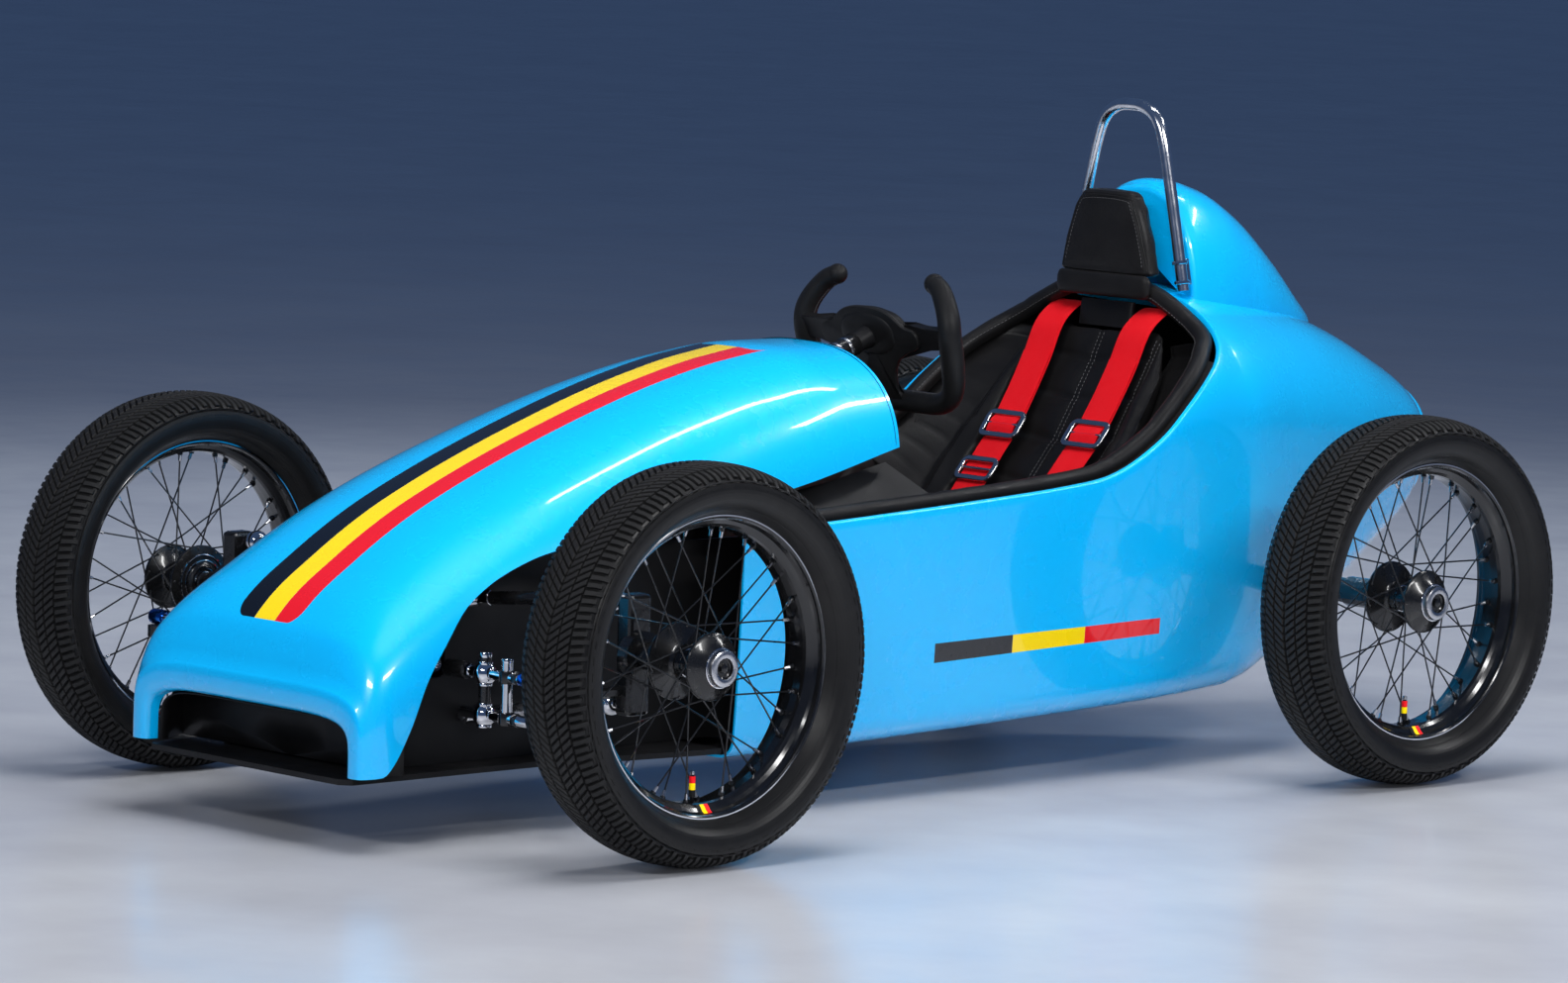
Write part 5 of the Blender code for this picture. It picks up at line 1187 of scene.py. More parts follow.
# ---------------------------------------------------------------- front suspension
for s, nm in ((1, "left"), (-1, "right")):
    ty = Y(-STEER_ARM)
    # steering links: two lateral rods joined by upright tubes
    bag = Bag()
    rod(bag, (s * 0.262, ty, RACK_Z), (s * 0.432, ty, RACK_Z), 0.0078, 24, 0)
    rod(bag, (s * 0.2535, ty, LINK_Z), (s * 0.432, ty, LINK_Z), 0.0078, 24, 0, bevel=0.001)
    rod(bag, (s * 0.222, ty, RACK_Z), (s * 0.262, ty, RACK_Z), 0.0122, 28, 2, bevel=0.0016)
    rod(bag, (s * 0.376, ty, RACK_Z), (s * 0.396, ty, RACK_Z), 0.0100, 28, 1, bevel=0.0014)
    rod(bag, (s * 0.262, ty, RACK_Z), (s * 0.271, ty, RACK_Z), 0.0105, 6, 0, bevel=0.001)
    for z in (RACK_Z, LINK_Z):
        ball(bag, (s * 0.300, ty, z), 0.0168, 28, 18, 0)
        for dz in (0.0150, -0.0150):
            rod(bag, (s * 0.300, ty, z + dz - 0.002), (s * 0.300, ty, z + dz + 0.002), 0.0112, 24, 0, bevel=0.0006)
        rod(bag, (s * (KINGPIN_X - 0.0135), ty, z), (s * (KINGPIN_X + 0.0135), ty, z), 0.0112, 24, 1 if z == RACK_Z else 0, bevel=0.0014)
        rod(bag, (s * 0.362, ty, z), (s * 0.372, ty, z), 0.0098, 6, 2, bevel=0.001)
    rod(bag, (s * 0.300, ty, LINK_Z - 0.012), (s * 0.300, ty, RACK_Z + 0.024), 0.0088, 24, 2)
    rod(bag, (s * 0.300, ty, RACK_Z + 0.022), (s * 0.300, ty, RACK_Z + 0.030), 0.0094, 24, 0, bevel=0.002)
    rod(bag, (s * 0.346, ty, LINK_Z - 0.006), (s * 0.346, ty, RACK_Z + 0.021), 0.0080, 24, 0)
    rod(bag, (s * 0.346, ty, RACK_Z + 0.019), (s * 0.346, ty, RACK_Z + 0.026), 0.0084, 24, 0, bevel=0.002)
    for z in (RACK_Z, LINK_Z):
        rod(bag, (s * 0.346, ty, z - 0.009), (s * 0.346, ty, z + 0.009), 0.0118, 24, 2, bevel=0.0012)
    tie = bag.make("steering_links_" + nm, [M_CHROME, M_BLUEAN, M_BLACKM], angle=38)
    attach(tie, "tie_rod_" + nm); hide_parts("tie_rod_" + nm)
    # wishbones
    for tag, z_in, z_out, ry, mt in (("upper", 0.335, 0.352, 0.0095, M_BLACKM), ("lower", 0.170, 0.206, 0.0105, M_STEEL)):
        bag = Bag()
        apex = Vector((s * (KINGPIN_X - 0.030), Y(0), z_out))
        for dy in (-0.075, 0.120):
            p = Vector((s * 0.1745, Y(dy), z_in))
            d = (apex - p).normalized()
            rod(bag, p + d * 0.018, apex - d * 0.014, ry, 24, 0)
            rod(bag, p + d * 0.010, p + d * 0.032, ry + 0.0022, 6, 1, bevel=0.001)
            rod(bag, apex - d * 0.040, apex - d * 0.012, ry + 0.0020, 24, 1, bevel=0.001)
            e = p + Vector((s * 0.006, 0, 0))
            rod(bag, e + Vector((0, -0.016, 0)), e + Vector((0, 0.016, 0)), 0.0122, 28, 1, bevel=0.0012)
            rod(bag, e + Vector((0, -0.0185, 0)), e + Vector((0, 0.0185, 0)), 0.0060, 6, 2, bevel=0.0006)
        ball(bag, apex, 0.0170, 28, 18, 1)
        arm = bag.make(tag + "_wishbone_" + nm, [mt, M_CHROME, M_STEEL], angle=38)
        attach(arm, "chassis"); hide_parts(tag + "_arm_" + nm)

# ---------------------------------------------------------------- stuffed pieces
def cushion(name, rows, closed_ends, seams, mats, cap=0.008, voxel=0.006, shrink=0.0070, pressure=4.0, seam_w=0.006,
            seam_d=0.0022, fill=0.7, limit=None):
    """Closed padded form blown up between its seams. seams(p) gives the distance to the nearest seam line."""
    bag = Bag()
    n = len(rows[0])
    grid(bag, rows, 0, close_c=True)
    k = len(bag.v)
    for r, base in ((rows[0], 0), (rows[-1], (len(rows) - 1) * n)):
        c = Vector((0, 0, 0))
        for p in r:
            c += Vector(p) / n
        ci = len(bag.v)
        bag.v.append(tuple(c))
        for i in range(n):
            bag.f.append((base + i, base + (i + 1) % n, ci))
            bag.m.append(0)
    ob = bag.make(name, mats, angle=180)
    full = BVHTree.FromPolygons([v.co.copy() for v in ob.data.vertices], [tuple(p.vertices) for p in ob.data.polygons])
    md = ob.modifiers.new("even", 'REMESH')
    md.mode = 'VOXEL'
    md.voxel_size = voxel
    apply_mods(ob)
    me = ob.data
    co = np.empty(len(me.vertices) * 3)
    me.vertices.foreach_get("co", co)
    co = co.reshape(-1, 3)
    no = np.empty(len(me.vertices) * 3)
    me.vertices.foreach_get("normal", no)
    no = no.reshape(-1, 3)
    start = co - no * shrink
    ds = np.array([seams(Vector(p), Vector(q)) for p, q in zip(co, no)])
    near = np.clip(1 - ds / seam_w, 0, 1)
    start = start - no * (near * seam_d)[:, None]
    me.vertices.foreach_set("co", start.ravel())
    me.update()
    vg = ob.vertex_groups.new(name="sewn")
    for i in np.nonzero(near > 0.25)[0]:
        vg.add([int(i)], float(min(1.0, near[i] * 1.6)), 'REPLACE')
    cl = ob.modifiers.new("cloth", 'CLOTH')
    st = cl.settings
    st.quality = 5
    st.mass = 0.25
    st.tension_stiffness = 18
    st.compression_stiffness = 18
    st.shear_stiffness = 6
    st.bending_stiffness = 0.6
    st.use_pressure = True
    st.uniform_pressure_force = pressure
    st.effector_weights.gravity = 0
    st.vertex_group_mass = "sewn"
    cl.collision_settings.use_collision = False
    cl.point_cache.frame_start, cl.point_cache.frame_end = 1, 20
    sc = bpy.context.scene
    for f in range(1, 21):
        sc.frame_set(f)
    apply_mods(ob)
    sc.frame_set(1)
    ob.vertex_groups.clear()
    me = ob.data
    new = np.empty(len(me.vertices) * 3)
    me.vertices.foreach_get("co", new)
    new = new.reshape(-1, 3)
    d = new - start
    L = np.linalg.norm(d, axis=1)
    d *= np.minimum(1.0, cap / np.maximum(L, 1e-9))[:, None]
    new = start + d
    # nothing passes outside the solid it fills
    out = new.copy()
    for i, p in enumerate(new):
        hit, nn, idx, dist = full.find_nearest(Vector(p))
        if (Vector(p) - hit).dot(nn) > -0.0003:
            out[i] = hit - nn * 0.0003
    if limit is not None:
        out = np.array([limit(p) for p in out])
    me = ob.data
    me.vertices.foreach_set("co", out.ravel())
    me.update()
    md = ob.modifiers.new("round", 'SUBSURF')
    md.levels = md.render_levels = 1
    apply_mods(ob)
    ob.data.materials.clear()
    for mt in mats:
        ob.data.materials.append(mt)
    ob.data.shade_smooth()
    return ob


def surface_of(ob):
    me = ob.data
    return BVHTree.FromPolygons([v.co.copy() for v in me.vertices], [tuple(p.vertices) for p in me.polygons])


def drop(tree, pts, lift, direction):
    """Lay points on a surface by casting along direction."""
    out = []
    d = Vector(direction).normalized()
    for p in pts:
        hit, nn, idx, dist = tree.ray_cast(Vector(p) - d * 0.12, d)
        if hit is not None:
            out.append((hit, nn if nn.dot(d) < 0 else -nn))
    return [(h + q * lift, q) for h, q in out]


def stitches(bag, laid, pitch=0.006, r=0.0006, mat=0, offset=0.0):
    """Short raised thread dashes along laid points."""
    if len(laid) < 3:
        return
    P = [a for a, b in laid]
    s = [0.0]
    for a, b in zip(P[:-1], P[1:]):
        s.append(s[-1] + (b - a).length)
    n = int(s[-1] / pitch)
    for i in range(n):
        for_k = (i + 0.2) * pitch
        to_k = (i + 0.75) * pitch
        q = []
        for v in (for_k, to_k):
            j = 0
            lo, hi = 0, len(s) - 2
            while lo < hi:
                mid = (lo + hi + 1) // 2
                if s[mid] <= v:
                    lo = mid
                else:
                    hi = mid - 1
            j = lo
            f = (v - s[j]) / max(1e-9, s[j + 1] - s[j])
            q.append(P[j].lerp(P[j + 1], min(1.0, f)))
        if (q[1] - q[0]).length > 0.001:
            tube(bag, [q[0], q[1]], r, 5, mat)


def piping(bag, laid, r=0.0017, mat=0):
    P = [a for a, b in laid]
    if len(P) > 2:
        tube(bag, P, r, 8, mat)


def sgn(v):
    return 1 if v >= 0 else -1


def back_z(fy):
    return spline([(a, b) for a, b, c in BACK], fy)


# seat back
BACK = [(1.085, 0.245, 0.170), (1.130, 0.296, 0.186), (1.180, 0.358, 0.194), (1.225, 0.410, 0.197), (1.287, 0.481, 0.192),
        (1.350, 0.580, 0.172), (1.385, 0.648, 0.135)]
secs = []
for i, (fy, z, w) in enumerate(BACK):
    a, b = BACK[max(0, i - 1)], BACK[min(len(BACK) - 1, i + 1)]
    t = Vector((0, b[0] - a[0], b[1] - a[1])).normalized()
    nrm = Vector((0, -t.z, t.y))
    ring = []
    for k in range(56):
        ang = 2 * pi * k / 56
        c, s = cos(ang), sin(ang)
        x = w * sgn(c) * abs(c) ** 0.45
        d = 0.0238 * sgn(s) * abs(s) ** 0.45
        ring.append(Vector((x, Y(fy), z)) + nrm * (d + 0.050 * (abs(x) / 0.197) ** 4))
    secs.append(ring)
CH = [0.300, 0.362, 0.424, 0.486, 0.548, 0.606]


def back_seams(p, nn):
    front = nn.y < 0.25
    d = abs(abs(p.x) - 0.128)
    d = min(d, abs(p.x))
    if abs(p.x) < 0.128:
        for c in CH:
            # tufted quilting: two crossing slanted rows
            d = min(d, abs(p.z - c - 0.10 * abs(p.x)))
    return d if front else 1.0


seat_back = cushion("quilted_seat_back", secs, True, back_seams, [M_LEATHER2], cap=0.012, voxel=0.0070, seam_w=0.0068,
                    seam_d=0.0050)
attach(seat_back, "chassis"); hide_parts("seat_back")
tree = surface_of(seat_back)
bag = Bag()
FWD = Vector((0, 0.75, -0.66))
for x in (0.0, 0.128, -0.128):
    for off in (0.0042, -0.0042):
        line = [Vector((x + off, Y(1.10 + 0.28 * i / 160), 0.255 + 0.385 * i / 160)) for i in range(161)]
        stitches(bag, drop(tree, line, 0.0002, FWD), 0.0065, 0.0005)
if bag.v:
    st_o = bag.make("seat_back_stitching", [M_THREAD], angle=40)
    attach(st_o, "chassis")

# seat base
secs = []
for fy, z, w in ((0.690, 0.214, 0.150), (0.720, 0.212, 0.176), (0.880, 0.190, 0.186), (1.000, 0.182, 0.182), (1.050, 0.190, 0.176)):
    ring = []
    for k in range(56):
        ang = 2 * pi * k / 56
        c, s = cos(ang), sin(ang)
        x = w * sgn(c) * abs(c) ** 0.4
        d = (0.030 if fy > 0.7 else 0.018) * sgn(s) * abs(s) ** 0.5
        ring.append(Vector((x, Y(fy), z + d * 0.99 + 0.018 * (abs(x) / w) ** 3)))
    secs.append(ring)


def base_seams(p, nn):
    if nn.z < 0.2:
        return 1.0
    d = min(abs(abs(p.x) - 0.120), abs(p.x))
    if abs(p.x) < 0.12:
        for c in (0.745, 0.805, 0.865, 0.925, 0.985):
            d = min(d, abs(p.y - Y(c) + 0.06 * abs(p.x)))
    return d


seat_base = cushion("quilted_seat_base", secs, True, base_seams, [M_LEATHER2], cap=0.012, voxel=0.0072, seam_w=0.0074,
                    seam_d=0.0050)
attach(seat_base, "chassis"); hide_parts("seat_base")

# side bolsters with diamond quilting towards the driver
for s, nm in ((1, "left"), (-1, "right")):
    secs = []
    for fy, zb, zt, xo in ((0.775, 0.140, 0.405, 0.266), (0.90, 0.140, 0.418, 0.271), (1.05, 0.145, 0.432, 0.272),
                           (1.16, 0.190, 0.468, 0.272), (1.235, 0.290, 0.520, 0.268), (1.295, 0.400, 0.565, 0.258)):
        th = (0.042 if fy < 1.2 else 0.038)
        ring = []
        for k in range(56):
            ang = 2 * pi * k / 56
            c, sn = cos(ang), sin(ang)
            h = (zt - zb) / 2
            ring.append((s * (xo - th / 2 + th / 2 * 0.98 * sgn(c) * abs(c) ** 0.6), Y(fy),
                         (zt + zb) / 2 + h * 0.995 * sgn(sn) * abs(sn) ** 0.6))
        secs.append(ring)

    def side_seams(p, nn, s=s):
        if nn.x * s > 0.25:
            return 1.0
        a = (p.y + p.z) * 0.7071
        b = (p.y - p.z) * 0.7071
        q = 0.062
        da = abs((a + 10 * q) % q - q / 2)
        db = abs((b + 10 * q) % q - q / 2)
        return min(da, db)
    bo = cushion("quilted_bolster_" + nm, secs, True, side_seams, [M_LEATHER2], cap=0.011, voxel=0.0071, seam_w=0.0066,
                 seam_d=0.0045)
    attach(bo, "chassis"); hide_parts("side_bolster_" + nm)

# headrest
secs = []
for z, w, f in ((0.7330, 0.096, 0.8), (0.740, 0.102, 1.0), (0.765, 0.0965, 1.0), (0.790, 0.091, 1.0), (0.815, 0.082, 1.0),
                (0.840, 0.073, 1.0), (0.862, 0.060, 0.85), (0.869, 0.050, 0.6)):
    ring = []
    for k in range(64):
        ang = 2 * pi * k / 64
        c, s = cos(ang), sin(ang)
        ring.append((w * sgn(c) * abs(c) ** 0.5, Y(1.3785) + 0.0235 * f * sgn(s) * abs(s) ** 0.5, z))
    secs.append(ring)


def head_w(z):
    return spline([(0.733, 0.096), (0.740, 0.102), (0.790, 0.091), (0.840, 0.073), (0.862, 0.060), (0.869, 0.050)], z)


def head_seams(p, nn):
    edge = head_w(p.z) - 0.011
    d = abs(abs(p.x) - edge) if 0.744 < p.z < 0.858 else 1.0
    if abs(p.x) < 0.066:
        d = min(d, abs(p.z - 0.857))
    if abs(p.x) < 0.093:
        d = min(d, abs(p.z - 0.7445))
    return d if nn.y < -0.3 else 1.0


head = cushion("headrest_pad", secs, True, head_seams, [M_LEATHER], cap=0.007, voxel=0.0040, shrink=0.004, seam_w=0.004,
               seam_d=0.0016)
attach(head, "chassis"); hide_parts("headrest")
tree = surface_of(head)
bag = Bag()
hl = []
for i in range(141):
    t = i / 140
    if t < 0.4:
        z = 0.7455 + (0.8500 - 0.7455) * t / 0.4
        hl.append(Vector((head_w(z) - 0.0125, 0, z)))
    elif t < 0.6:
        u = (t - 0.4) / 0.2
        xw = head_w(0.850) - 0.0125
        hl.append(Vector((xw * cos(pi * u), 0, 0.850 + 0.0075 * sin(pi * u) ** 0.7)))
    else:
        z = 0.8500 - (0.8500 - 0.7455) * (t - 0.6) / 0.4
        hl.append(Vector((-(head_w(z) - 0.0125), 0, z)))
hl = [Vector((p.x, Y(1.3785) - 0.02, p.z)) for p in hl]
laid = drop(tree, hl, -0.0004, (0, 1, 0))
piping(bag, laid, 0.0015, 0)
inner = [Vector((p.x * 0.92, p.y, 0.80 + (p.z - 0.80) * 0.92)) for p in hl]
stitches(bag, drop(tree, inner, 0.0002, (0, 1, 0)), 0.006, 0.0005, 1)
pi_o = bag.make("headrest_piping", [M_LEATHER, M_THREAD], angle=40)
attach(pi_o, "chassis")

# padded lower edge of the headrest, hanging in front of the trim roll
bag = Bag()
sk = []
for i in range(41):
    u = -1 + 2 * i / 40
    x = 0.0985 * u
    e = max(0.0, abs(u) - 0.90) / 0.10
    ring = []
    for k in range(20):
        a = 2 * pi * k / 20
        hz = 0.0185 * (1 - 0.45 * e ** 2)
        ring.append((x, Y(1.3612) + 0.0060 * sgn(cos(a)) * abs(cos(a)) ** 0.8 * (1 - 0.55 * e ** 2) + 0.004 * abs(u) ** 6,
                     0.7195 + hz * sgn(sin(a)) * abs(sin(a)) ** 0.7))
    sk.append(ring)
grid(bag, sk, 0, close_c=True)
for row, flip_ in ((sk[0], 0), (sk[-1], 1)):
    ci = len(bag.v)
    bag.add(list(row) + [tuple(sum(p[k] for p in row) / len(row) for k in range(3))],
            [(i, (i + 1) % 20, 20) for i in range(20)], 0)
skirt = bag.make("headrest_lower_pad", [M_LEATHER], angle=60, merge=0.00002)
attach(skirt, "chassis")

# padded tongue from the seat back up under the trim roll, between the straps
bag = Bag()
tg = []
for i in range(25):
    t = i / 24
    yc = 1.3730 + 0.0050 * t
    zc = 0.6540 + 0.0400 * t
    ring = []
    for k in range(40):
        a = 2 * pi * k / 40
        x = 0.0560 * sgn(cos(a)) * abs(cos(a)) ** 0.45
        ch = 0.0022 * max(0.0, 1 - abs(x) / 0.005)
        ring.append((x, Y(yc) + 0.0072 * sgn(sin(a)) * abs(sin(a)) ** 0.5 * (0.86 + 0.14 * sin(pi * t)) + (ch if sin(a) < 0 else 0), zc))
    tg.append(ring)
grid(bag, tg, 0, close_c=True)
for row in (tg[0], tg[-1]):
    bag.add(list(row) + [tuple(sum(p[k] for p in row) / len(row) for k in range(3))],
            [(i, (i + 1) % 40, 40) for i in range(40)], 0)
tongue = bag.make("seat_top_pad", [M_LEATHER2], angle=60, merge=0.00002)
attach(tongue, "chassis")

# cockpit trim roll
edge30 = curve_points([Vector((0, a, b)) for a, b in SILL + [(1.400, 0.735)]], 30)
trim_half = []
for p in edge30[3:]:
    x = body_half(p.y, p.z)
    trim_half.append(Vector((max(0.0, x - 0.0350 - 0.10 * max(0.0, p.z - 0.60)), min(Y(p.y), Y(1.383)), p.z + 0.006)))
trim_half = [q for q in trim_half if q.z < 0.696]
trim_pts = trim_half + [Vector((0.088, Y(1.383), 0.711)), Vector((0.0, Y(1.383), 0.7135)),
                        Vector((-0.088, Y(1.383), 0.711))] + [Vector((-q.x, q.y, q.z)) for q in reversed(trim_half)]
tp = curve_points(trim_pts, 420)
radii = []
L = len(tp)
for i in range(L):
    e = min(i, L - 1 - i)
    r = 0.0137 + 0.00025 * sin(i * 0.21) + 0.00015 * sin(i * 0.53 + 1.0)
    if i % 60 in (0,):
        r -= 0.0011
    elif i % 60 in (1, 59):
        r -= 0.0005
    if e < 6:
        r *= sqrt(max(0.02, 1 - (1 - e / 6) ** 2))
    radii.append(r)
bag = Bag()
tube(bag, tp, 0.0138, 24, 0, radii=radii)
# flange from the roll out to the shell
flange_src = [p for p in curve_points([q for q in trim_half if q.z < 0.640], 120)]
for sx in (1, -1):
    rr = []
    for q in flange_src:
        fy = q.y - FRONT_AXLE_Y
        zz = q.z - 0.0085
        xo = body_half(fy, zz) - 0.0078
        row = [(sx * (q.x + 0.004), q.y, q.z - 0.006), (sx * (q.x + 0.011 + 0.2 * (xo - q.x - 0.011)), q.y, zz + 0.0012),
               (sx * (0.5 * (q.x + 0.011 + xo)), q.y, zz), (sx * xo, q.y, zz - 0.001), (sx * xo, q.y, zz - 0.003),
               (sx * (0.5 * (q.x + 0.011 + xo)), q.y, zz - 0.002), (sx * (q.x + 0.004), q.y, zz - 0.0015)]
        rr.append(row)
    grid(bag, rr, 0, close_c=True)
roll = bag.make("cockpit_trim_roll", [M_LEATHER], angle=60)
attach(roll, "chassis"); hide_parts("cockpit_trim")
bag = Bag()
laid = []
for i in range(4, L - 4):
    t = (tp[i + 1] - tp[i - 1]).normalized()
    inw = Vector((0, Y(1.0), 0.62)) - tp[i]
    upw = Vector((0, 0, 1))
    dd = (inw - t * inw.dot(t)).normalized()
    laid.append((tp[i] + dd * (radii[i] + 0.0001), dd))
stitches(bag, laid, 0.0065, 0.00055, 0)
st_o = bag.make("trim_roll_stitching", [M_THREAD], angle=40)
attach(st_o, "chassis")

# leather lining of the tub, from under the roll in to the back of the seat
bag = Bag()
side_src = curve_points([q for q in trim_half if q.y > Y(1.06) and q.z < 0.694], 70)
for sx in (1, -1):
    rr = []
    for i, q in enumerate(side_src):
        fy = q.y - FRONT_AXLE_Y
        f = i / (len(side_src) - 1)
        x0, z0 = q.x + 0.004, q.z - 0.0150
        y1 = min(fy + 0.030 + 0.030 * (1 - f), 1.392)
        z1 = back_z(min(y1, 1.385)) + 0.002
        z1 = min(z1, z0 - 0.012)
        row = []
        for k in range(13):
            u = k / 12
            x = x0 + (0.152 - 0.030 * f - x0) * (u ** 1.15)
            y = fy + 0.004 + (y1 - fy - 0.004) * sin(u * pi / 2)
            z = z0 + (z1 - z0) * (1 - cos(u * pi / 2)) ** 0.9
            pleat = -0.0022 * abs(sin(i * pi / 7)) ** 0.5 * sin(pi * u)
            row.append((sx * (x + pleat), Y(y), z))
        rr.append(row)
    k0 = len(bag.v)
    grid(bag, rr, 0)
lin = bag.make("tub_lining", [M_LEATHER2], angle=60, outward=False)
md = lin.modifiers.new("thickness", 'SOLIDIFY')
md.thickness = 0.0015
md.offset = 0.0
apply_mods(lin)
lin.data.shade_smooth()
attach(lin, "chassis")

# ---------------------------------------------------------------- harness
def band(bag, path, across_of, width, thick, mat=0, edge_mat=1, wave=0.0):
    """Flat woven strap with folded edges along path."""
    rows = []
    n = len(path)
    for i, p in enumerate(path):
        t = (path[min(n - 1, i + 1)] - path[max(0, i - 1)]).normalized()
        across = across_of(p)
        across = (across - t * t.dot(across)).normalized()
        nrm = t.cross(across).normalized()
        ring = []
        prof = []
        m = 16
        for k in range(m + 1):
            u = -1 + 2 * k / m
            prof.append((u, 1))
        h = thick / 2
        for u, sd_ in prof:
            edge = max(0.0, abs(u) - 0.93) / 0.07
            rise = h * (1 - 0.75 * edge ** 2) - (0.00035 if 0.82 < abs(u) < 0.88 else 0)
            ring.append(p + across * (u * width / 2) + nrm * (rise + wave * cos(u * pi)))
        for u, sd_ in reversed(prof):
            edge = max(0.0, abs(u) - 0.93) / 0.07
            ring.append(p + across * (u * width / 2 * 0.998) - nrm * (h * (1 - 0.75 * edge ** 2)) + nrm * (wave * cos(u * pi)))
        rows.append(ring)
    k0 = len(bag.v)
    grid(bag, rows, mat, close_c=True)
    c = len(rows[0])
    bag.f.append(tuple(k0 + k for k in range(c))); bag.m.append(mat)
    bag.f.append(tuple(k0 + (n - 1) * c + k for k in reversed(range(c)))); bag.m.append(mat)


def ring_frame(bag, centre, ax, w, l, bar, r, mat, centre_bar=True):
    """Rounded rectangle of bent bar with a middle bar. ax: three unit vectors (across, along, up)."""
    c = Vector(centre)
    pts = []
    rc = 0.009
    for cx, cy, a0 in ((1, 1, 0), (-1, 1, 90), (-1, -1, 180), (1, -1, 270)):
        for i in range(7):
            a = radians(a0 + 90 * i / 6)
            pts.append(c + ax[0] * (cx * (w / 2 - bar / 2 - rc) + rc * cos(a)) + ax[1] * (cy * (l / 2 - bar / 2 - rc) + rc * sin(a)))
    n = len(pts)
    rows = []
    for i in range(n):
        t = (pts[(i + 1) % n] - pts[i - 1]).normalized()
        o = t.cross(ax[2]).normalized()
        ring = []
        for k in range(12):
            a = 2 * pi * k / 12
            ring.append(pts[i] + o * (bar / 2 * sgn(cos(a)) * abs(cos(a)) ** 0.6) + ax[2] * (r * sgn(sin(a)) * abs(sin(a)) ** 0.6))
        rows.append(ring)
    grid(bag, rows, mat, close_c=True, close_r=True)
    if centre_bar:
        rod(bag, c - ax[0] * (w / 2 - bar), c + ax[0] * (w / 2 - bar), r * 0.85, 12, mat)


def back_line(fy):
    return spline([(a, b) for a, b, c in BACK], fy)


STRAP_LINE = [(1.378, 0.093), (1.345, 0.092), (1.287, 0.090), (1.240, 0.088), (1.190, 0.086), (1.145, 0.084), (1.105, 0.082)]
for s, nm in ((1, "left"), (-1, "right")):
    pts = [Vector((s * 0.095, Y(1.412), 0.6835)), Vector((s * 0.094, Y(1.385), 0.6835))]
    for fy, x in STRAP_LINE:
        t = Vector((0, 0.02, back_line(fy + 0.01) - back_line(fy - 0.01))).normalized()
        pts.append(Vector((s * x, Y(fy), back_line(fy))) + Vector((0, -t.z, t.y)) * 0.0390)
    cp = curve_points(pts, 130)
    bag = Bag()
    band(bag, cp, lambda p: Vector((1, 0, 0)), 0.0612, 0.0026)
    c17 = curve_points(pts, 17)
    c = c17[8]
    t = (c17[9] - c17[7]).normalized()
    nrm = Vector((0, -t.z, t.y)).normalized()
    if nrm.y > 0:
        nrm = -nrm
    # doubled webbing threaded over the buckle's middle bar
    hump = []
    for i in range(41):
        u = -1 + 2 * i / 40
        h = 0.0026 + 0.0056 * max(0.0, cos(u * pi / 2)) ** 1.2
        hump.append(c + t * (u * 0.0235) + nrm * h)
    band(bag, hump, lambda p: Vector((1, 0, 0)), 0.0560, 0.0018)
    # free end folded back above the buckle, with two rows of stitching along its edges
    tail = []
    for i in range(24):
        u = i / 23
        j = 62 - int(round(u * 30))
        tail.append(cp[max(0, j)] + nrm * (0.0027 + 0.0003 * sin(u * 9)))
    band(bag, tail, lambda p: Vector((1, 0, 0)), 0.0585, 0.0019)
    for u in (-0.9, 0.9):
        P = [(cp[i] + Vector((s * 0.0 + u * 0.0285, 0, 0)) + nrm * 0.0014, nrm) for i in range(14, 40)]
        stitches(bag, P, 0.0045, 0.0005, 1)
    ws = bag.make("shoulder_webbing_" + nm, [M_WEB, M_RTHREAD], angle=50)
    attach(ws, "chassis"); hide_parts("shoulder_strap_" + nm)
    bag = Bag()
    ring_frame(bag, c + nrm * 0.0066, (Vector((1, 0, 0)), t, nrm), 0.0838, 0.0518, 0.0100, 0.0030, 0)
    if s < 0:
        c2 = cp[86]
        t2 = (cp[88] - cp[84]).normalized()
        n2_ = Vector((0, -t2.z, t2.y)).normalized()
        n2_ = -n2_ if n2_.y > 0 else n2_
        ring_frame(bag, c2 + n2_ * 0.0050, (Vector((1, 0, 0)), t2, n2_), 0.0800, 0.0460, 0.0095, 0.0029, 0)
    bk = bag.make("slide_buckle_" + nm, [M_BUCKLE], angle=50)
    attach(bk, "chassis"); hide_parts("strap_buckle_" + nm)

lap_pts = [Vector((x, Y(fy), z)) for x, fy, z in ((0.196, 1.005, 0.258), (0.150, 0.970, 0.262), (0.075, 0.950, 0.262), (0.0, 0.940, 0.262))]
lap_pts = lap_pts + [Vector((-p.x, p.y, p.z)) for p in reversed(lap_pts[:-1])]
bag = Bag()
lp = curve_points(lap_pts, 110)
band(bag, lp, lambda p: Vector((0, 0.45, 0.90)).normalized(), 0.0495, 0.0024)
i0 = 55
cc = lp[i0]
tt = (lp[i0 + 1] - lp[i0 - 1]).normalized()
vv = Vector((0, 0.45, 0.90)).normalized()
nn_ = tt.cross(vv).normalized()
if nn_.y > 0:
    nn_ = -nn_
lapw = bag.make("lap_webbing", [M_WEB, M_RTHREAD], angle=50)
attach(lapw, "chassis"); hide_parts("lap_strap")


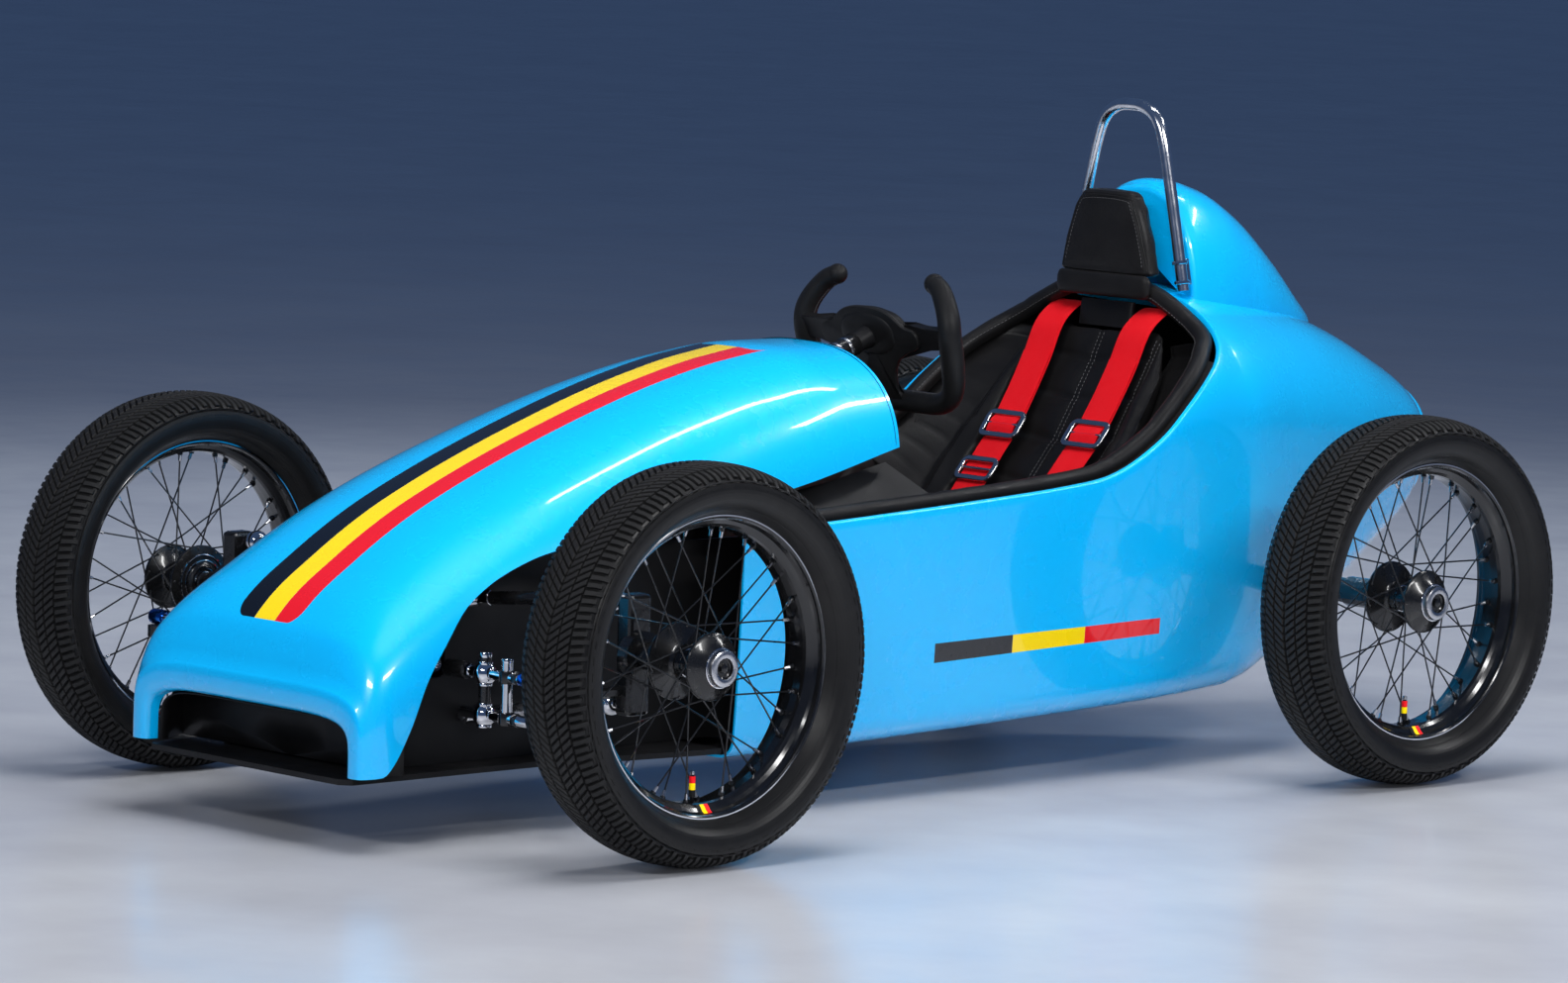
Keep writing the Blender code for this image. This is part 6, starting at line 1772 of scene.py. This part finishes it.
# ---------------------------------------------------------------- setting: plain pale floor and soft studio light
floor_bag = Bag()
grid(floor_bag, [[(x, y, 0.0) for x in np.linspace(-45, 45, 31)] for y in np.linspace(-45, 45, 31)])
floor = floor_bag.make("studio_floor", [], outward=False)
if floor.data.polygons[0].normal.z < 0:
    floor.data.flip_normals()
fm = Mat("pale_floor", (0.48, 0.49, 0.53), 0.22, Specular_IOR_Level=0.5)
fm.color(fm.rgb_mix(fm.remap(fm.noise(1.2, 4.0), 0.35, 0.7, 0.0, 1.0), (0.46, 0.47, 0.51), (0.53, 0.54, 0.57)))
fm.rough(fm.remap(fm.noise(5.0, 4.0), 0.3, 0.7, 0.20, 0.27))
fm.bump(fm.noise(300.0, 2.0), 0.00003, 0.15)
floor.data.materials.append(fm.m)

world = bpy.data.worlds.new("studio")
bpy.context.scene.world = world
world.use_nodes = True
world.node_tree.nodes["Background"].inputs[0].default_value = (0.085, 0.15, 0.31, 1.0)
world.node_tree.nodes["Background"].inputs[1].default_value = 0.45


def area(name, loc, target, size, size_y, power, color=(1, 1, 1), spread=180):
    ld = bpy.data.lights.new(name, 'AREA')
    ld.shape = 'RECTANGLE'
    ld.size, ld.size_y = size, size_y
    ld.energy = power
    ld.color = color
    ld.spread = radians(spread)
    ob = bpy.data.objects.new(name, ld)
    bpy.context.scene.collection.objects.link(ob)
    ob.location = loc
    d = Vector(target) - Vector(loc)
    ob.rotation_euler = d.to_track_quat('-Z', 'Y').to_euler()
    return ob


key = area("key_top", (0.9, -0.9, 4.2), (0, 0, 0.3), 2.4, 2.4, 150)
key.visible_glossy = False
area("strip_left", (4.6, -0.2, 3.4), (0, 0.1, 0.35), 2.8, 0.35, 110)
area("strip_front", (1.6, -5.2, 3.4), (0, -0.6, 0.3), 2.4, 0.40, 90)
fill = area("fill_low", (6.0, -5.4, 1.6), (0, 0, 0.3), 2.6, 1.6, 110, spread=140)
fill.visible_glossy = False
rim = area("rim_back", (-3.0, 2.6, 3.0), (0, 0.2, 0.5), 2.4, 0.5, 80, (0.85, 0.92, 1.0))
rim.visible_glossy = False
area("strip_over", (0.25, 1.1, 3.2), (0.1, 0.2, 0.4), 0.14, 2.2, 15)
area("strip_rear", (1.5, 3.0, 3.1), (0.2, 0.3, 0.5), 1.6, 0.16, 24)
bpy.context.scene.view_settings.view_transform = 'Standard'

# camera at the reference angle
a, e, roll = radians(46.28), radians(5.97), radians(1.73)
back_v = Vector((sin(a) * cos(e), -cos(a) * cos(e), sin(e)))
fwd = -back_v
right = fwd.cross(Vector((0, 0, 1))).normalized()
up_v = right.cross(fwd)
r2 = right * cos(roll) + up_v * sin(roll)
u2 = -right * sin(roll) + up_v * cos(roll)
cd = bpy.data.cameras.new("view")
cd.sensor_fit = 'HORIZONTAL'
cd.sensor_width = 36.0
cd.lens = 162.93
cam = bpy.data.objects.new("view", cd)
bpy.context.scene.collection.objects.link(cam)
cam.matrix_world = Matrix(((r2.x, u2.x, back_v.x, 7.60907), (r2.y, u2.y, back_v.y, -7.43619),
                           (r2.z, u2.z, back_v.z, 1.53007), (0, 0, 0, 1)))
bpy.context.scene.camera = cam
